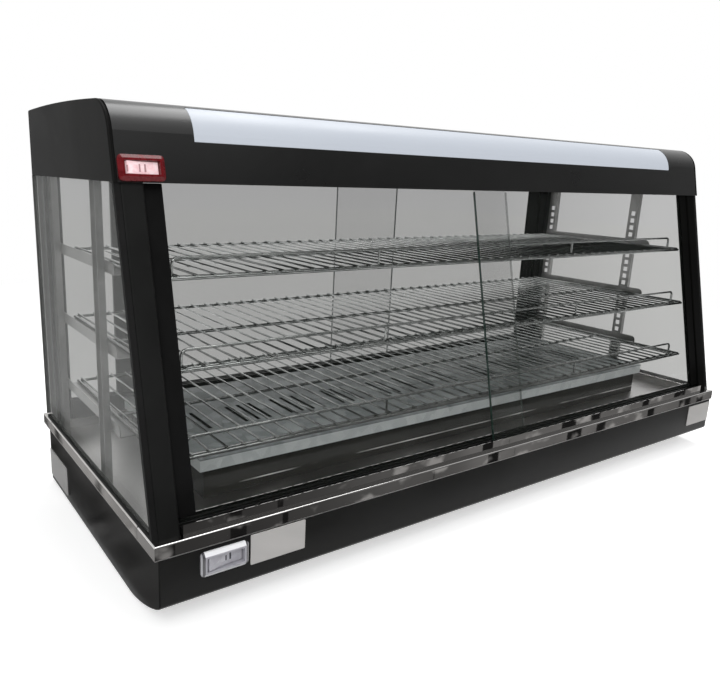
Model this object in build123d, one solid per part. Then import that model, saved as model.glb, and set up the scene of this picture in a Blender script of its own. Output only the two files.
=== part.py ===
from build123d import *
from math import cos, radians, tan
import os

# Heated counter-top pie display. Millimetres, +Z up, front towards -Y.
# The origin is under the middle of the bounding box, on the surface that the feet stand on.

# Overall sizes
WIDTH = 1200.0
BASE_DEPTH = 480.0
REAR_LEDGE = 16.0
FOOT_HEIGHT = 3.5
BASE_HEIGHT = 94.5
SILL_HEIGHT = 17.5
GLAZED_HEIGHT = 386.5
ROOF_HEIGHT = 94.0
FRONT_SLOPE = 13.0

# Sheet, glass and general clearances
BASE_WALL = 1.5
SHEET = 1.2
GLASS = 4.0
FIT_GAP = 0.3
SEAM_GAP = 0.8
OVERCUT = 1.0

# Base
BASE_SIDE_INSET = 4.5
BASE_CURVE_DEPTH = 98.5
BASE_CURVE_RISE = 36.5
BASE_CURVE_LEAD = 29.5
BASE_CURVE_TURN = 11.5
BASE_CORNER_RADIUS = 2.0
BASE_TOP_FLANGE = 24.0
BOTTOM_FLANGE_SIDE = 100.0
BOTTOM_FLANGE_FRONT = 125.0
BOTTOM_FLANGE_REAR = 95.0
BOTTOM_PLATE_LAP = 18.0
VENT_LENGTH = 46.0
VENT_WIDTH = 4.0
VENT_PITCH_X = 60.0
VENT_PITCH_Y = 14.0
VENT_COLUMNS = 8
VENT_ROWS = 5
LOUVRE_HEIGHT = 34.0
LOUVRE_WIDTH = 4.0
LOUVRE_PITCH = 12.0
LOUVRE_COUNT = 12
FOOT_RADIUS = 19.0
FOOT_TAPER = 1.0
FOOT_RECESS_RADIUS = 7.0
FOOT_RECESS_DEPTH = 2.0
FOOT_INSET_SIDE = 72.0
FOOT_INSET_FRONT = 125.0
FOOT_INSET_REAR = 70.0

# Rim that stands on the deck
SILL_DEPTH = 54.0
SILL_EDGE_RADIUS = 2.0
REAR_SILL_DEPTH = 34.0
TRIM_WIDTH = 12.0
WIRE_HOLE_RADIUS = 6.0
WIRE_HOLE_INSET = 198.0

# Doors and tracks
DOOR_EDGE_INSET = 37.0
DOOR_OVERLAP = 40.0
DOOR_SETBACK = 12.0
DOOR_PITCH = 8.0
REAR_LEFT_OPENED = 78.0
STILE_THICK = 6.0
STILE_WIDTH = 23.0
STILE_LAP = 1.5
PULL_WIDTH = 34.0
PULL_GROOVE_WIDTH = 14.0
PULL_GROOVE_DEPTH = 0.6
CHANNEL_WIDTH = 24.0
CHANNEL_HEIGHT = 14.0
TRACK_HEIGHT = 8.0
REAR_TRACK_HEIGHT = 28.0
TRACK_FLOOR = 2.0
TRACK_PLAY = 0.6
TOP_TRACK_HEIGHT = 12.0
TOP_TRACK_REAR = 8.0
DOOR_TOP_ENTRY = 3.5
REAR_DOOR_INSET = 24.0

# Posts and side glass
POST_GAP = 1.5
POST_PROUD = 1.5
POST_DEPTH = 21.5
POST_WALL = 1.5
POST_EDGE_RADIUS = 2.5
REAR_POST_DEPTH = 20.0
REAR_POST_INSET = 11.0
GLASS_INSET = 3.0
GASKET_LIP = 1.5
GASKET_HEIGHT = 5.0

# Roof
ROOF_CROWN_RADIUS = 4300.0
ROOF_CROWN_INSET = 115.0
ROOF_ARC_RADIUS = 44.0
ROOF_REAR_RADIUS = 3.5
ROOF_REAR_INSET = 9.0
ROOF_WALL = 1.5
FASCIA_PROUD = 4.7
FASCIA_LAND = 14.0
CAP_THICK = 2.5
CAP_EDGE_RADIUS = 1.5
CAP_SEAM = 3.0
CAP_RIM_DEPTH = 9.0
PANEL_END_INSET = 100.0
PANEL_FRONT_RISE = 46.5
PANEL_TOP_ARC = 68.0
PANEL_GAP = 0.8
PANEL_FLANGE = 7.0
PANEL_THICK = 2.5
TUBE_RADIUS = 8.0
TUBE_END_INSET = 120.0
TUBE_RISE = 56.0
TUBE_BACK = 46.0
HOLDER_WIDTH = 16.0
HOLDER_DEPTH = 30.0
HOLDER_SOCKET = 8.0

# Shelves
SHELF_END_INSET = 40.0
SHELF_BACK_INSET = 50.0
LOWER_SHELF_SETBACK = 32.0
MIDDLE_SHELF_SETBACK = 20.0
TOP_SHELF_SETBACK = 20.0
LOWER_SHELF_RISE = 86.0
HOLE_PITCH = 15.0
SHELF_STEP_HOLES = 7
FRAME_WIRE = 5.0
GRID_WIRE = 3.0
GRID_PITCH = 24.0
WELD_DEPTH = 0.6
GUARD_WIRE = 4.0
GUARD_RISE = 23.5
GUARD_BACK = 8.0
GUARD_END_BAYS = 1
GUARD_POST_BAYS = 9
GUARD_BEND = 8.0

# Shelf uprights and rails
UPRIGHT_WIDTH = 21.0
UPRIGHT_DEPTH = 9.0
UPRIGHT_INSET = 21.5
FRONT_UPRIGHT_Y = 205.0
REAR_UPRIGHT_GAP = 17.0
HOLE_SIZE = 9.0
HOLE_TOP_MARGIN = 40.0
RAIL_FLANGE = 29.0
RAIL_RISE = 14.0
RAIL_OVERHANG = 36.0
RAIL_NOSE_RADIUS = 9.0
HOOK_PLAY = 0.6
HOOK_RISE = 5.0

# Heater
HEATER_END_INSET = 102.0
HEATER_FRONT = 102.0
HEATER_DEPTH = 285.0
HEATER_COVER_RISE = 60.0
HEATER_LIP = 17.0
HEATER_BOX_INSET = 8.0
SLOT_END_INSET = 62.0
SLOT_ROW_BACK = 132.5
SLOTS_PER_GROUP = 4
SLOT_PITCH = 20.0
SLOT_LENGTH = 72.0
SLOT_WIDTH = 6.0
ELEMENT_RADIUS = 4.0
ELEMENT_END_INSET = 48.0
ELEMENT_BEND = 26.0
ELEMENT_RISE = 26.0
ELEMENT_SPREAD = 62.0
BRACKET_INSET = 118.0
BRACKET_MARGIN = 14.0
BRACKET_THICK = 2.0

# Switches
LAMP_SWITCH_WIDTH = 53.5
LAMP_SWITCH_HEIGHT = 28.5
POWER_SWITCH_WIDTH = 62.0
POWER_SWITCH_HEIGHT = 31.0
SWITCH_PROUD = 6.0
BEZEL_CORNER = 5.0
BEZEL_BEVEL_WIDTH = 3.5
BEZEL_BEVEL_HEIGHT = 4.5
BEZEL_OVERHANG = 5.5
SWITCH_BODY_DEPTH = 12.0
SWITCH_BODY_WALL = 1.2
ROCKER_TILT = 7.0
ROCKER_PIVOT_DEPTH = 3.0
ROCKER_PLAY = 0.8
ROCKER_VALLEY = 1.0
LAMP_SWITCH_INSET = 33.2
LAMP_SWITCH_RISE = 15.2
POWER_SWITCH_INSET = 85.0
POWER_SWITCH_RISE = 74.0

# Thermostat, cable gland and terminal block
THERMOSTAT_INSET = 130.0
THERMOSTAT_RISE = 52.5
THERMOSTAT_BODY = 40.0
THERMOSTAT_BODY_DEPTH = 34.0
SHAFT_RADIUS = 3.0
KNOB_RADIUS = 19.0
KNOB_HEIGHT = 14.0
KNOB_GRIPS = 12
KNOB_GRIP_RADIUS = 2.5
GLAND_INSET = 100.0
GLAND_RISE = 44.5
GLAND_RADIUS = 11.0
GLAND_NECK = 7.4
GLAND_REACH = 14.0
GLAND_BORE = 4.5
TERMINAL_INSET = 180.0
TERMINAL_LENGTH = 60.0
TERMINAL_DEPTH = 24.0
TERMINAL_HEIGHT = 18.0
TERMINAL_WAYS = 5

# Levels and planes worked out from the sizes above
HALF_WIDTH = WIDTH / 2
BASE_HALF_WIDTH = HALF_WIDTH - BASE_SIDE_INSET
FRONT = (SWITCH_PROUD - BASE_DEPTH - REAR_LEDGE) / 2
REAR = FRONT + BASE_DEPTH
BASE_BOTTOM = FOOT_HEIGHT
BASE_TOP = BASE_BOTTOM + BASE_HEIGHT
DECK_TOP = BASE_TOP + SHEET
SILL_TOP = BASE_TOP + SILL_HEIGHT
ROOF_BOTTOM = SILL_TOP + GLAZED_HEIGHT
ROOF_TOP = ROOF_BOTTOM + ROOF_HEIGHT
ROOF_REAR = REAR - ROOF_REAR_INSET
ROOF_CROWN_Y = REAR - ROOF_CROWN_INSET
SLOPE = tan(radians(FRONT_SLOPE))
LEAN = cos(radians(FRONT_SLOPE))
DOOR_CLOSED_EDGE = HALF_WIDTH - DOOR_EDGE_INSET
POST_INNER_X = DOOR_CLOSED_EDGE + POST_GAP
GLASS_OUTER_X = HALF_WIDTH - GLASS_INSET
GLASS_INNER_X = GLASS_OUTER_X - GLASS
POST_OUTER_X = GLASS_INNER_X - GASKET_LIP
FASCIA_END_X = HALF_WIDTH - CAP_THICK - CAP_SEAM
PANEL_HALF_WIDTH = HALF_WIDTH - PANEL_END_INSET
TUBE_HALF_LENGTH = HALF_WIDTH - TUBE_END_INSET
UPRIGHT_INNER_X = HALF_WIDTH - UPRIGHT_INSET
CEILING_BOTTOM = ROOF_BOTTOM + ROOF_WALL
CAP_RIM_X = HALF_WIDTH - CAP_THICK - CAP_RIM_DEPTH
SHELF_HALF_WIDTH = HALF_WIDTH - SHELF_END_INSET
SHELF_BACK = REAR - SHELF_BACK_INSET
FRAME_HALF = FRAME_WIRE / 2
GRID_SIDE_COUNT = int((SHELF_HALF_WIDTH - 3 * FRAME_HALF) / GRID_PITCH)
BESIDE_WIRE = (GRID_WIRE + GUARD_WIRE) / 2 + FIT_GAP
GUARD_END_X = (GRID_SIDE_COUNT - GUARD_END_BAYS) * GRID_PITCH + BESIDE_WIRE
GUARD_POST_X = GUARD_POST_BAYS * GRID_PITCH + BESIDE_WIRE
HEATER_HALF_WIDTH = HALF_WIDTH - HEATER_END_INSET
HEATER_FRONT_Y = FRONT + HEATER_FRONT
HEATER_BACK_Y = HEATER_FRONT_Y + HEATER_DEPTH
HEATER_TOP = BASE_TOP + HEATER_COVER_RISE
SHELF_LEVELS = {
    name: BASE_TOP + LOWER_SHELF_RISE + step * SHELF_STEP_HOLES * HOLE_PITCH
    for step, name in enumerate(("lower", "middle", "top"))
}
SHELF_SETBACKS = {"lower": LOWER_SHELF_SETBACK, "middle": MIDDLE_SHELF_SETBACK, "top": TOP_SHELF_SETBACK}
FIRST_HOLE = SHELF_LEVELS["lower"] + HOOK_RISE
HOLES_ABOVE = int((CEILING_BOTTOM - HOLE_TOP_MARGIN - FIRST_HOLE) / HOLE_PITCH)
LAMP_BODY_WIDTH = LAMP_SWITCH_WIDTH - 2 * BEZEL_OVERHANG
LAMP_SWITCH_X = LAMP_SWITCH_INSET - HALF_WIDTH
POWER_SWITCH_X = POWER_SWITCH_INSET - HALF_WIDTH
THERMOSTAT_X = HALF_WIDTH - THERMOSTAT_INSET
GLAND_X = GLAND_INSET - HALF_WIDTH
TERMINAL_X = TERMINAL_INSET - HALF_WIDTH
SIDES = {"left": -1, "right": 1}


def front_y(z, back=0.0):
    """Y of the slanted door plane at height z, moved back by a horizontal distance."""
    return FRONT + DOOR_SETBACK + (z - SILL_TOP) * SLOPE + back


def block(x0, x1, y0, y1, z0, z1):
    """Box between two corners."""
    centre = Pos((x0 + x1) / 2, (y0 + y1) / 2, (z0 + z1) / 2)
    return centre * Box(abs(x1 - x0), abs(y1 - y0), abs(z1 - z0))


def outline_yz(points):
    """Face in the local plane whose axes are the object's Y and Z."""
    return make_face(Polyline(*points, close=True))


def along_x(face, x0, x1):
    """Extrude a Y-Z face between two X places."""
    return Pos(min(x0, x1), 0, 0) * extrude(Plane.YZ * face, amount=abs(x1 - x0))


def leaning(back0, back1, z0, z1):
    """Face of a slab that leans with the front, between two setbacks and two heights."""
    return outline_yz([
        (front_y(z0, back0), z0),
        (front_y(z0, back1), z0),
        (front_y(z1, back1), z1),
        (front_y(z1, back0), z1),
    ])


def rod(start, end, across):
    """Straight wire of hexagonal section with a flat below."""
    start = Vector(*start)
    end = Vector(*end)
    run = end - start
    side = run.cross(Vector(0, 0, 1)) if abs(run.X) + abs(run.Y) > 0 else Vector(1, 0, 0)
    section = RegularPolygon(across / 2, 6, major_radius=False)
    return extrude(Plane(start, x_dir=side, z_dir=run) * section, amount=run.length)


def mirrored(shape, side):
    """Piece drawn for the right side, moved to the side asked for."""
    return shape if side > 0 else mirror(shape, about=Plane.YZ)


def channel_lid(x0, x1, y0, y1):
    """Folded rim piece: a tray turned over, open below, standing on the deck."""
    outer = block(x0, x1, y0, y1, DECK_TOP, SILL_TOP)
    outer = fillet(outer.edges().group_by(Axis.Z)[-1], SILL_EDGE_RADIUS)
    return outer - block(x0 + SHEET, x1 - SHEET, y0 + SHEET, y1 - SHEET, DECK_TOP, SILL_TOP - SHEET)


# Base

def base_face(inset):
    """Side outline of the base, whose bottom curves up to the front."""
    y = FRONT + inset
    z = BASE_BOTTOM + inset
    top = BASE_TOP - inset
    heel = (y + BASE_CURVE_DEPTH, z)
    chin = (y, z + BASE_CURVE_RISE)
    curve = Bezier(heel, (heel[0] - BASE_CURVE_LEAD, z), (y, chin[1] - BASE_CURVE_TURN), chin)
    rest = Polyline(chin, (y, top), (REAR - inset, top), (REAR - inset, z), heel)
    return make_face(curve + rest)


def base_body(inset):
    """Body of the base with round ends below its top, moved in by inset."""
    half = BASE_HALF_WIDTH - inset
    body = along_x(base_face(inset), -half, half)
    ends = body.faces().filter_by(Axis.X)
    below = ends.edges().filter_by(lambda e: e.center().Z < BASE_TOP - inset - FIT_GAP)
    return fillet(below, BASE_CORNER_RADIUS - inset)


def bottom_opening(grow, z0, z1):
    """Space of the opening in the underside, wider by grow all round."""
    return block(
        -HALF_WIDTH + BOTTOM_FLANGE_SIDE - grow, HALF_WIDTH - BOTTOM_FLANGE_SIDE + grow,
        FRONT + BOTTOM_FLANGE_FRONT - grow, REAR - BOTTOM_FLANGE_REAR + grow, z0, z1,
    )


def make_base_housing():
    """Folded steel base: rounded front, flanged above and below, with its cut-outs."""
    shell = base_body(0) - base_body(BASE_WALL)
    shell -= bottom_opening(0, BASE_BOTTOM - OVERCUT, BASE_BOTTOM + BASE_WALL + OVERCUT)
    shell -= block(
        -BASE_HALF_WIDTH + BASE_TOP_FLANGE, BASE_HALF_WIDTH - BASE_TOP_FLANGE,
        FRONT + BASE_TOP_FLANGE, REAR - BASE_TOP_FLANGE, BASE_TOP - BASE_WALL - OVERCUT, BASE_TOP + OVERCUT,
    )
    shell -= power_switch_plane() * switch_hole(POWER_SWITCH_WIDTH, POWER_SWITCH_HEIGHT)
    rear_face = REAR - BASE_WALL / 2
    louvre = Box(LOUVRE_WIDTH, 3 * BASE_WALL, LOUVRE_HEIGHT)
    span = (LOUVRE_COUNT - 1) * LOUVRE_PITCH
    middle = BASE_BOTTOM + BASE_HEIGHT / 2
    for group in (-1, 1):
        start = group * WIDTH / 6 - span / 2
        shell -= [Pos(start + n * LOUVRE_PITCH, rear_face, middle) * louvre for n in range(LOUVRE_COUNT)]
    shell -= Pos(THERMOSTAT_X, rear_face, BASE_BOTTOM + THERMOSTAT_RISE) * Rot(90, 0, 0) * Cylinder(
        SHAFT_RADIUS + FIT_GAP, 3 * BASE_WALL)
    shell -= Pos(GLAND_X, rear_face, BASE_BOTTOM + GLAND_RISE) * Rot(90, 0, 0) * Cylinder(
        GLAND_NECK + FIT_GAP, 3 * BASE_WALL)
    return shell


def make_bottom_plate():
    """Vented plate that lies on the inside of the lower flange."""
    floor = BASE_BOTTOM + BASE_WALL
    plate = bottom_opening(BOTTOM_PLATE_LAP, floor, floor + SHEET)
    vent = Box(VENT_LENGTH, VENT_WIDTH, 3 * SHEET)
    centre_y = (FRONT + BOTTOM_FLANGE_FRONT + REAR - BOTTOM_FLANGE_REAR) / 2
    places = GridLocations(VENT_PITCH_X, VENT_PITCH_Y, VENT_COLUMNS, VENT_ROWS)
    return plate - [Pos(0, centre_y, floor) * place * vent for place in places]


def make_feet():
    """Four tapered rubber feet with a screw recess."""
    profile = make_face(Polyline(
        (FOOT_RECESS_RADIUS, 0), (FOOT_RADIUS - FOOT_TAPER, 0), (FOOT_RADIUS, FOOT_HEIGHT),
        (0, FOOT_HEIGHT), (0, FOOT_RECESS_DEPTH), (FOOT_RECESS_RADIUS, FOOT_RECESS_DEPTH), close=True,
    ))
    foot = revolve(Plane.XZ * profile, Axis.Z)
    x = HALF_WIDTH - FOOT_INSET_SIDE
    rows = (FRONT + FOOT_INSET_FRONT, REAR - FOOT_INSET_REAR)
    return Compound(children=[Pos(side * x, y, 0) * foot for side in (-1, 1) for y in rows])


def make_deck_plate():
    """Polished plate that closes the base, with two holes for the heater leads."""
    plate = block(-HALF_WIDTH, HALF_WIDTH, FRONT, REAR, BASE_TOP, DECK_TOP)
    hole = Cylinder(WIRE_HOLE_RADIUS, 4 * SHEET)
    middle = (HEATER_FRONT_Y + HEATER_BACK_Y) / 2
    x = HEATER_HALF_WIDTH - WIRE_HOLE_INSET
    return plate - [Pos(side * x, middle, DECK_TOP) * hole for side in (-1, 1)]


def make_front_sill():
    """Polished sill that carries the front track and wraps round both corners."""
    return channel_lid(-HALF_WIDTH, HALF_WIDTH, FRONT, FRONT + SILL_DEPTH)


def make_rear_sill():
    """Rear sill, with the ledge that stands out behind the base."""
    return channel_lid(-HALF_WIDTH, HALF_WIDTH, REAR - REAR_SILL_DEPTH, REAR + REAR_LEDGE)


def make_side_trim(side):
    """Rim piece along one side, between the two sills."""
    trim = channel_lid(
        HALF_WIDTH - TRIM_WIDTH, HALF_WIDTH,
        FRONT + SILL_DEPTH + SEAM_GAP, REAR - REAR_SILL_DEPTH - SEAM_GAP,
    )
    return mirrored(trim, side)


# Glass, posts and tracks

def side_glass_face(z0, z1, grow):
    """Outline of the side glass between two heights, longer by grow at both ends."""
    return outline_yz([
        (front_y(z0, -grow), z0),
        (ROOF_REAR + grow, z0),
        (ROOF_REAR + grow, z1),
        (front_y(z1, -grow), z1),
    ])


def make_side_glass(side):
    """Fixed side pane, seated in its gasket and under the end cap."""
    return mirrored(along_x(
        side_glass_face(SILL_TOP + GASKET_LIP, ROOF_BOTTOM, 0), GLASS_INNER_X, GLASS_OUTER_X), side)


def make_gaskets():
    """Rubber channel along the front and lower edge of each side pane."""
    frame = along_x(side_glass_face(SILL_TOP, ROOF_BOTTOM, GASKET_LIP),
                    GLASS_INNER_X - GASKET_LIP, GLASS_OUTER_X + GASKET_LIP)
    low = SILL_TOP + GASKET_HEIGHT
    top = ROOF_BOTTOM + OVERCUT
    window = outline_yz([
        (front_y(low, GASKET_HEIGHT), low),
        (REAR, low),
        (REAR, top),
        (front_y(top, GASKET_HEIGHT), top),
    ])
    frame -= along_x(window, 0, HALF_WIDTH)
    frame -= make_side_glass(1)
    return Compound(children=[mirrored(frame, side) for side in SIDES.values()])


def make_front_post(side):
    """Hollow leaning post beside the front doors."""
    post = along_x(leaning(-POST_PROUD, POST_DEPTH - POST_PROUD, SILL_TOP, ROOF_BOTTOM),
                   POST_INNER_X, POST_OUTER_X)
    front_edges = post.edges().filter_by(lambda e: abs(e.center().X - POST_INNER_X) < FIT_GAP
                                         or abs(e.center().X - POST_OUTER_X) < FIT_GAP)
    front_edges = front_edges.filter_by(lambda e: e.length > GLAZED_HEIGHT / 2)
    post = fillet(front_edges.group_by(Axis.Y)[0], POST_EDGE_RADIUS)
    core = along_x(leaning(POST_WALL - POST_PROUD, POST_DEPTH - POST_PROUD - POST_WALL,
                           SILL_TOP - OVERCUT, ROOF_BOTTOM + OVERCUT),
                   POST_INNER_X + POST_WALL, POST_OUTER_X - POST_WALL)
    return mirrored(post - core, side)


def make_rear_post(side):
    """Hollow upright post beside the rear doors."""
    back = REAR - REAR_POST_INSET
    front = back - REAR_POST_DEPTH
    post = block(POST_INNER_X, POST_OUTER_X, front, back, SILL_TOP, ROOF_BOTTOM)
    post = fillet(post.edges().filter_by(Axis.Z), POST_EDGE_RADIUS)
    post -= block(POST_INNER_X + POST_WALL, POST_OUTER_X - POST_WALL, front + POST_WALL,
                  back - POST_WALL, SILL_TOP - OVERCUT, ROOF_BOTTOM + OVERCUT)
    return mirrored(post, side)


def door_back(track):
    """Setback of a front door's middle plane, in the outer (0) or inner (1) track."""
    return STILE_THICK / 2 + track * DOOR_PITCH


def rear_door_y(track):
    """Middle plane of a rear door, in the inner (0) or outer (1) track."""
    return REAR - REAR_DOOR_INSET + track * DOOR_PITCH


GROOVE = GLASS / LEAN + 2 * TRACK_PLAY
TRACK_WIDTH = CHANNEL_WIDTH - 2 * SHEET - 2 * FIT_GAP
FRONT_TRACK_BASE = SILL_TOP + SHEET
FRONT_PANE_BOTTOM = FRONT_TRACK_BASE + TRACK_FLOOR + FIT_GAP
REAR_PANE_BOTTOM = SILL_TOP + TRACK_FLOOR + FIT_GAP
PANE_TOP = ROOF_BOTTOM + DOOR_TOP_ENTRY
STILE_BOTTOM = SILL_TOP + CHANNEL_HEIGHT + SEAM_GAP
PULL_BOTTOM = SILL_TOP + REAR_TRACK_HEIGHT + SEAM_GAP
STILE_TOP = ROOF_BOTTOM - SEAM_GAP
TRACK_MIDDLE = STILE_THICK / 2 + DOOR_PITCH / 2
CHANNEL_Y = FRONT + DOOR_SETBACK + TRACK_MIDDLE


def make_front_channel():
    """Polished sheet channel on the front sill that holds the door track."""
    half = CHANNEL_WIDTH / 2
    channel = block(-DOOR_CLOSED_EDGE, DOOR_CLOSED_EDGE, CHANNEL_Y - half, CHANNEL_Y + half,
                    SILL_TOP, SILL_TOP + CHANNEL_HEIGHT)
    half -= SHEET
    return channel - block(-HALF_WIDTH, HALF_WIDTH, CHANNEL_Y - half, CHANNEL_Y + half,
                           FRONT_TRACK_BASE, SILL_TOP + CHANNEL_HEIGHT + OVERCUT)


def make_front_track():
    """Double track in the front channel, with its grooves leaning like the doors."""
    top = FRONT_TRACK_BASE + TRACK_HEIGHT
    track = block(-DOOR_CLOSED_EDGE, DOOR_CLOSED_EDGE, CHANNEL_Y - TRACK_WIDTH / 2,
                  CHANNEL_Y + TRACK_WIDTH / 2, FRONT_TRACK_BASE, top)
    for lane in (0, 1):
        track -= along_x(leaning(door_back(lane) - GROOVE / 2, door_back(lane) + GROOVE / 2,
                                 FRONT_TRACK_BASE + TRACK_FLOOR, top + OVERCUT),
                         -HALF_WIDTH, HALF_WIDTH)
    return track


def make_rear_track():
    """Double track on the rear sill, taller than the front one."""
    middle = REAR - REAR_DOOR_INSET + DOOR_PITCH / 2
    track = block(-DOOR_CLOSED_EDGE, DOOR_CLOSED_EDGE, middle - TRACK_WIDTH / 2,
                  middle + TRACK_WIDTH / 2, SILL_TOP, SILL_TOP + REAR_TRACK_HEIGHT)
    for lane in (0, 1):
        y = rear_door_y(lane)
        track -= block(-HALF_WIDTH, HALF_WIDTH, y - GROOVE / 2, y + GROOVE / 2,
                       SILL_TOP + TRACK_FLOOR, SILL_TOP + REAR_TRACK_HEIGHT + OVERCUT)
    return track


TOP_TRACK_TOP = ROOF_BOTTOM + TOP_TRACK_HEIGHT
TOP_TRACK_END_X = CAP_RIM_X - FIT_GAP
FRONT_TRACK_BACK = TRACK_MIDDLE + TOP_TRACK_REAR
REAR_TRACK_FRONT = REAR - REAR_DOOR_INSET + DOOR_PITCH / 2 - TOP_TRACK_REAR


def make_front_top_track():
    """Double channel behind the fascia for the tops of the front doors, ending at the lamp switch."""
    face = leaning(ROOF_WALL / LEAN - FASCIA_PROUD, FRONT_TRACK_BACK, ROOF_BOTTOM, TOP_TRACK_TOP)
    start = LAMP_SWITCH_X + LAMP_BODY_WIDTH / 2 + SEAM_GAP
    track = along_x(face, start, TOP_TRACK_END_X)
    for lane in (0, 1):
        track -= along_x(leaning(door_back(lane) - GROOVE / 2, door_back(lane) + GROOVE / 2,
                                 ROOF_BOTTOM - OVERCUT, PANE_TOP + TRACK_PLAY),
                         -HALF_WIDTH, HALF_WIDTH)
    return track


def make_rear_top_track():
    """Double channel inside the rear wall of the roof for the tops of the rear doors."""
    track = block(-TOP_TRACK_END_X, TOP_TRACK_END_X, REAR_TRACK_FRONT, ROOF_REAR - ROOF_WALL,
                  ROOF_BOTTOM, TOP_TRACK_TOP)
    for lane in (0, 1):
        y = rear_door_y(lane)
        track -= block(-HALF_WIDTH, HALF_WIDTH, y - GROOVE / 2, y + GROOVE / 2,
                       ROOF_BOTTOM - OVERCUT, PANE_TOP + TRACK_PLAY)
    return track


# Doors

def door_span(side, opened):
    """X places of a door's outer and inner edge."""
    outer = side * DOOR_CLOSED_EDGE - side * opened
    return outer, outer - side * (DOOR_CLOSED_EDGE + DOOR_OVERLAP)


def make_front_door_glass(side, lane):
    """Leaning pane of a front door."""
    outer, inner = door_span(side, 0)
    back = door_back(lane)
    half = GLASS / LEAN / 2
    pane = leaning(back - half, back + half, FRONT_PANE_BOTTOM, PANE_TOP)
    return along_x(pane, outer - side * STILE_LAP, inner)


def make_front_door_stile(side, lane):
    """Black channel over the outer edge of a front pane."""
    outer, _ = door_span(side, 0)
    back = door_back(lane)
    half = STILE_THICK / 2
    stile = along_x(leaning(back - half, back + half, STILE_BOTTOM, STILE_TOP),
                    outer, outer - side * STILE_WIDTH)
    return stile - make_front_door_glass(side, lane)


def make_rear_door_glass(side, lane, opened):
    """Upright pane of a rear door."""
    outer, inner = door_span(side, opened)
    y = rear_door_y(lane)
    return block(outer - side * STILE_LAP, inner, y - GLASS / 2, y + GLASS / 2,
                 REAR_PANE_BOTTOM, PANE_TOP)


def make_rear_door_pull(side, lane, opened):
    """Wide black channel over the outer edge of a rear pane, with a finger groove on each face."""
    outer, _ = door_span(side, opened)
    y = rear_door_y(lane)
    half = STILE_THICK / 2
    pull = block(outer, outer - side * PULL_WIDTH, y - half, y + half, PULL_BOTTOM, STILE_TOP)
    middle = outer - side * PULL_WIDTH / 2
    for face in (-1, 1):
        pull -= block(middle - PULL_GROOVE_WIDTH / 2, middle + PULL_GROOVE_WIDTH / 2,
                      y + face * half, y + face * (half - PULL_GROOVE_DEPTH),
                      PULL_BOTTOM + PULL_GROOVE_WIDTH, STILE_TOP - PULL_GROOVE_WIDTH)
    return pull - make_rear_door_glass(side, lane, opened)


# Roof

def roof_face(inset, bottom):
    """Side outline of the roof under its low crown, with a round upper front, moved in by inset."""
    push = inset / LEAN - FASCIA_PROUD
    face = outline_yz([
        (front_y(bottom, push), bottom),
        (ROOF_REAR - inset, bottom),
        (ROOF_REAR - inset, ROOF_TOP),
        (front_y(ROOF_TOP, push), ROOF_TOP),
    ])
    face &= Pos(ROOF_CROWN_Y, ROOF_TOP - ROOF_CROWN_RADIUS) * Circle(ROOF_CROWN_RADIUS - inset)
    front = face.vertices().sort_by(lambda v: v.Y - v.X)[-1]
    face = fillet(front, ROOF_ARC_RADIUS - inset)
    rear = face.vertices().sort_by(lambda v: v.Y + v.X)[-1]
    return fillet(rear, max(ROOF_REAR_RADIUS - inset, SHEET))


def roof_skin(inset, thick, bottom):
    """Thin shell of the roof outline, open below, over the full width of the fascia."""
    skin = along_x(roof_face(inset, bottom), -FASCIA_END_X, FASCIA_END_X)
    return skin - along_x(roof_face(inset + thick, bottom - OVERCUT), -HALF_WIDTH, HALF_WIDTH)


FRONT_ARC = roof_face(0, ROOF_BOTTOM).edges().filter_by(GeomType.CIRCLE).sort_by(Axis.X)[0]
ARC_CENTRE_Y = FRONT_ARC.arc_center.X
ARC_CENTRE_Z = FRONT_ARC.arc_center.Y
ROOF_SPLIT_Y = ARC_CENTRE_Y + FASCIA_LAND


def panel_zone(gap, half_width):
    """Wedge over the stretch of the light panel, its upper side through the arc's centre, smaller by gap."""
    reach = 2 * ROOF_ARC_RADIUS
    upper = radians(PANEL_TOP_ARC)
    low_z = ROOF_BOTTOM + PANEL_FRONT_RISE + gap
    start_z = ARC_CENTRE_Z - gap / cos(upper)
    wedge = outline_yz([
        (ARC_CENTRE_Y - (low_z - start_z) / tan(upper), low_z),
        (ARC_CENTRE_Y - reach, low_z),
        (ARC_CENTRE_Y - reach, start_z + reach * tan(upper)),
    ])
    return along_x(wedge, -half_width + gap, half_width - gap)


def make_end_cap(side):
    """Flat end plate of the roof with the rim that slips inside the fascia and the cover."""
    plate = along_x(roof_face(0, ROOF_BOTTOM), HALF_WIDTH - CAP_THICK, HALF_WIDTH)
    plate = fillet(plate.faces().sort_by(Axis.X)[-1].edges(), CAP_EDGE_RADIUS)
    outer = ROOF_WALL + FIT_GAP
    rim = along_x(roof_face(outer, ROOF_BOTTOM), CAP_RIM_X, HALF_WIDTH - CAP_THICK)
    hollow = roof_face(outer + ROOF_WALL, CEILING_BOTTOM)
    rim -= along_x(hollow, CAP_RIM_X - OVERCUT, HALF_WIDTH - CAP_THICK)
    return mirrored(plate + rim, side)


def make_fascia():
    """Curved front of the roof, with the window of the light panel and the lamp switch hole."""
    skin = roof_skin(0, ROOF_WALL, ROOF_BOTTOM)
    fascia = skin & block(-HALF_WIDTH, HALF_WIDTH, FRONT, ROOF_SPLIT_Y, ROOF_BOTTOM, ROOF_TOP)
    fascia -= panel_zone(0, PANEL_HALF_WIDTH)
    return fascia - lamp_switch_plane() * switch_hole(LAMP_SWITCH_WIDTH, LAMP_SWITCH_HEIGHT)


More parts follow.
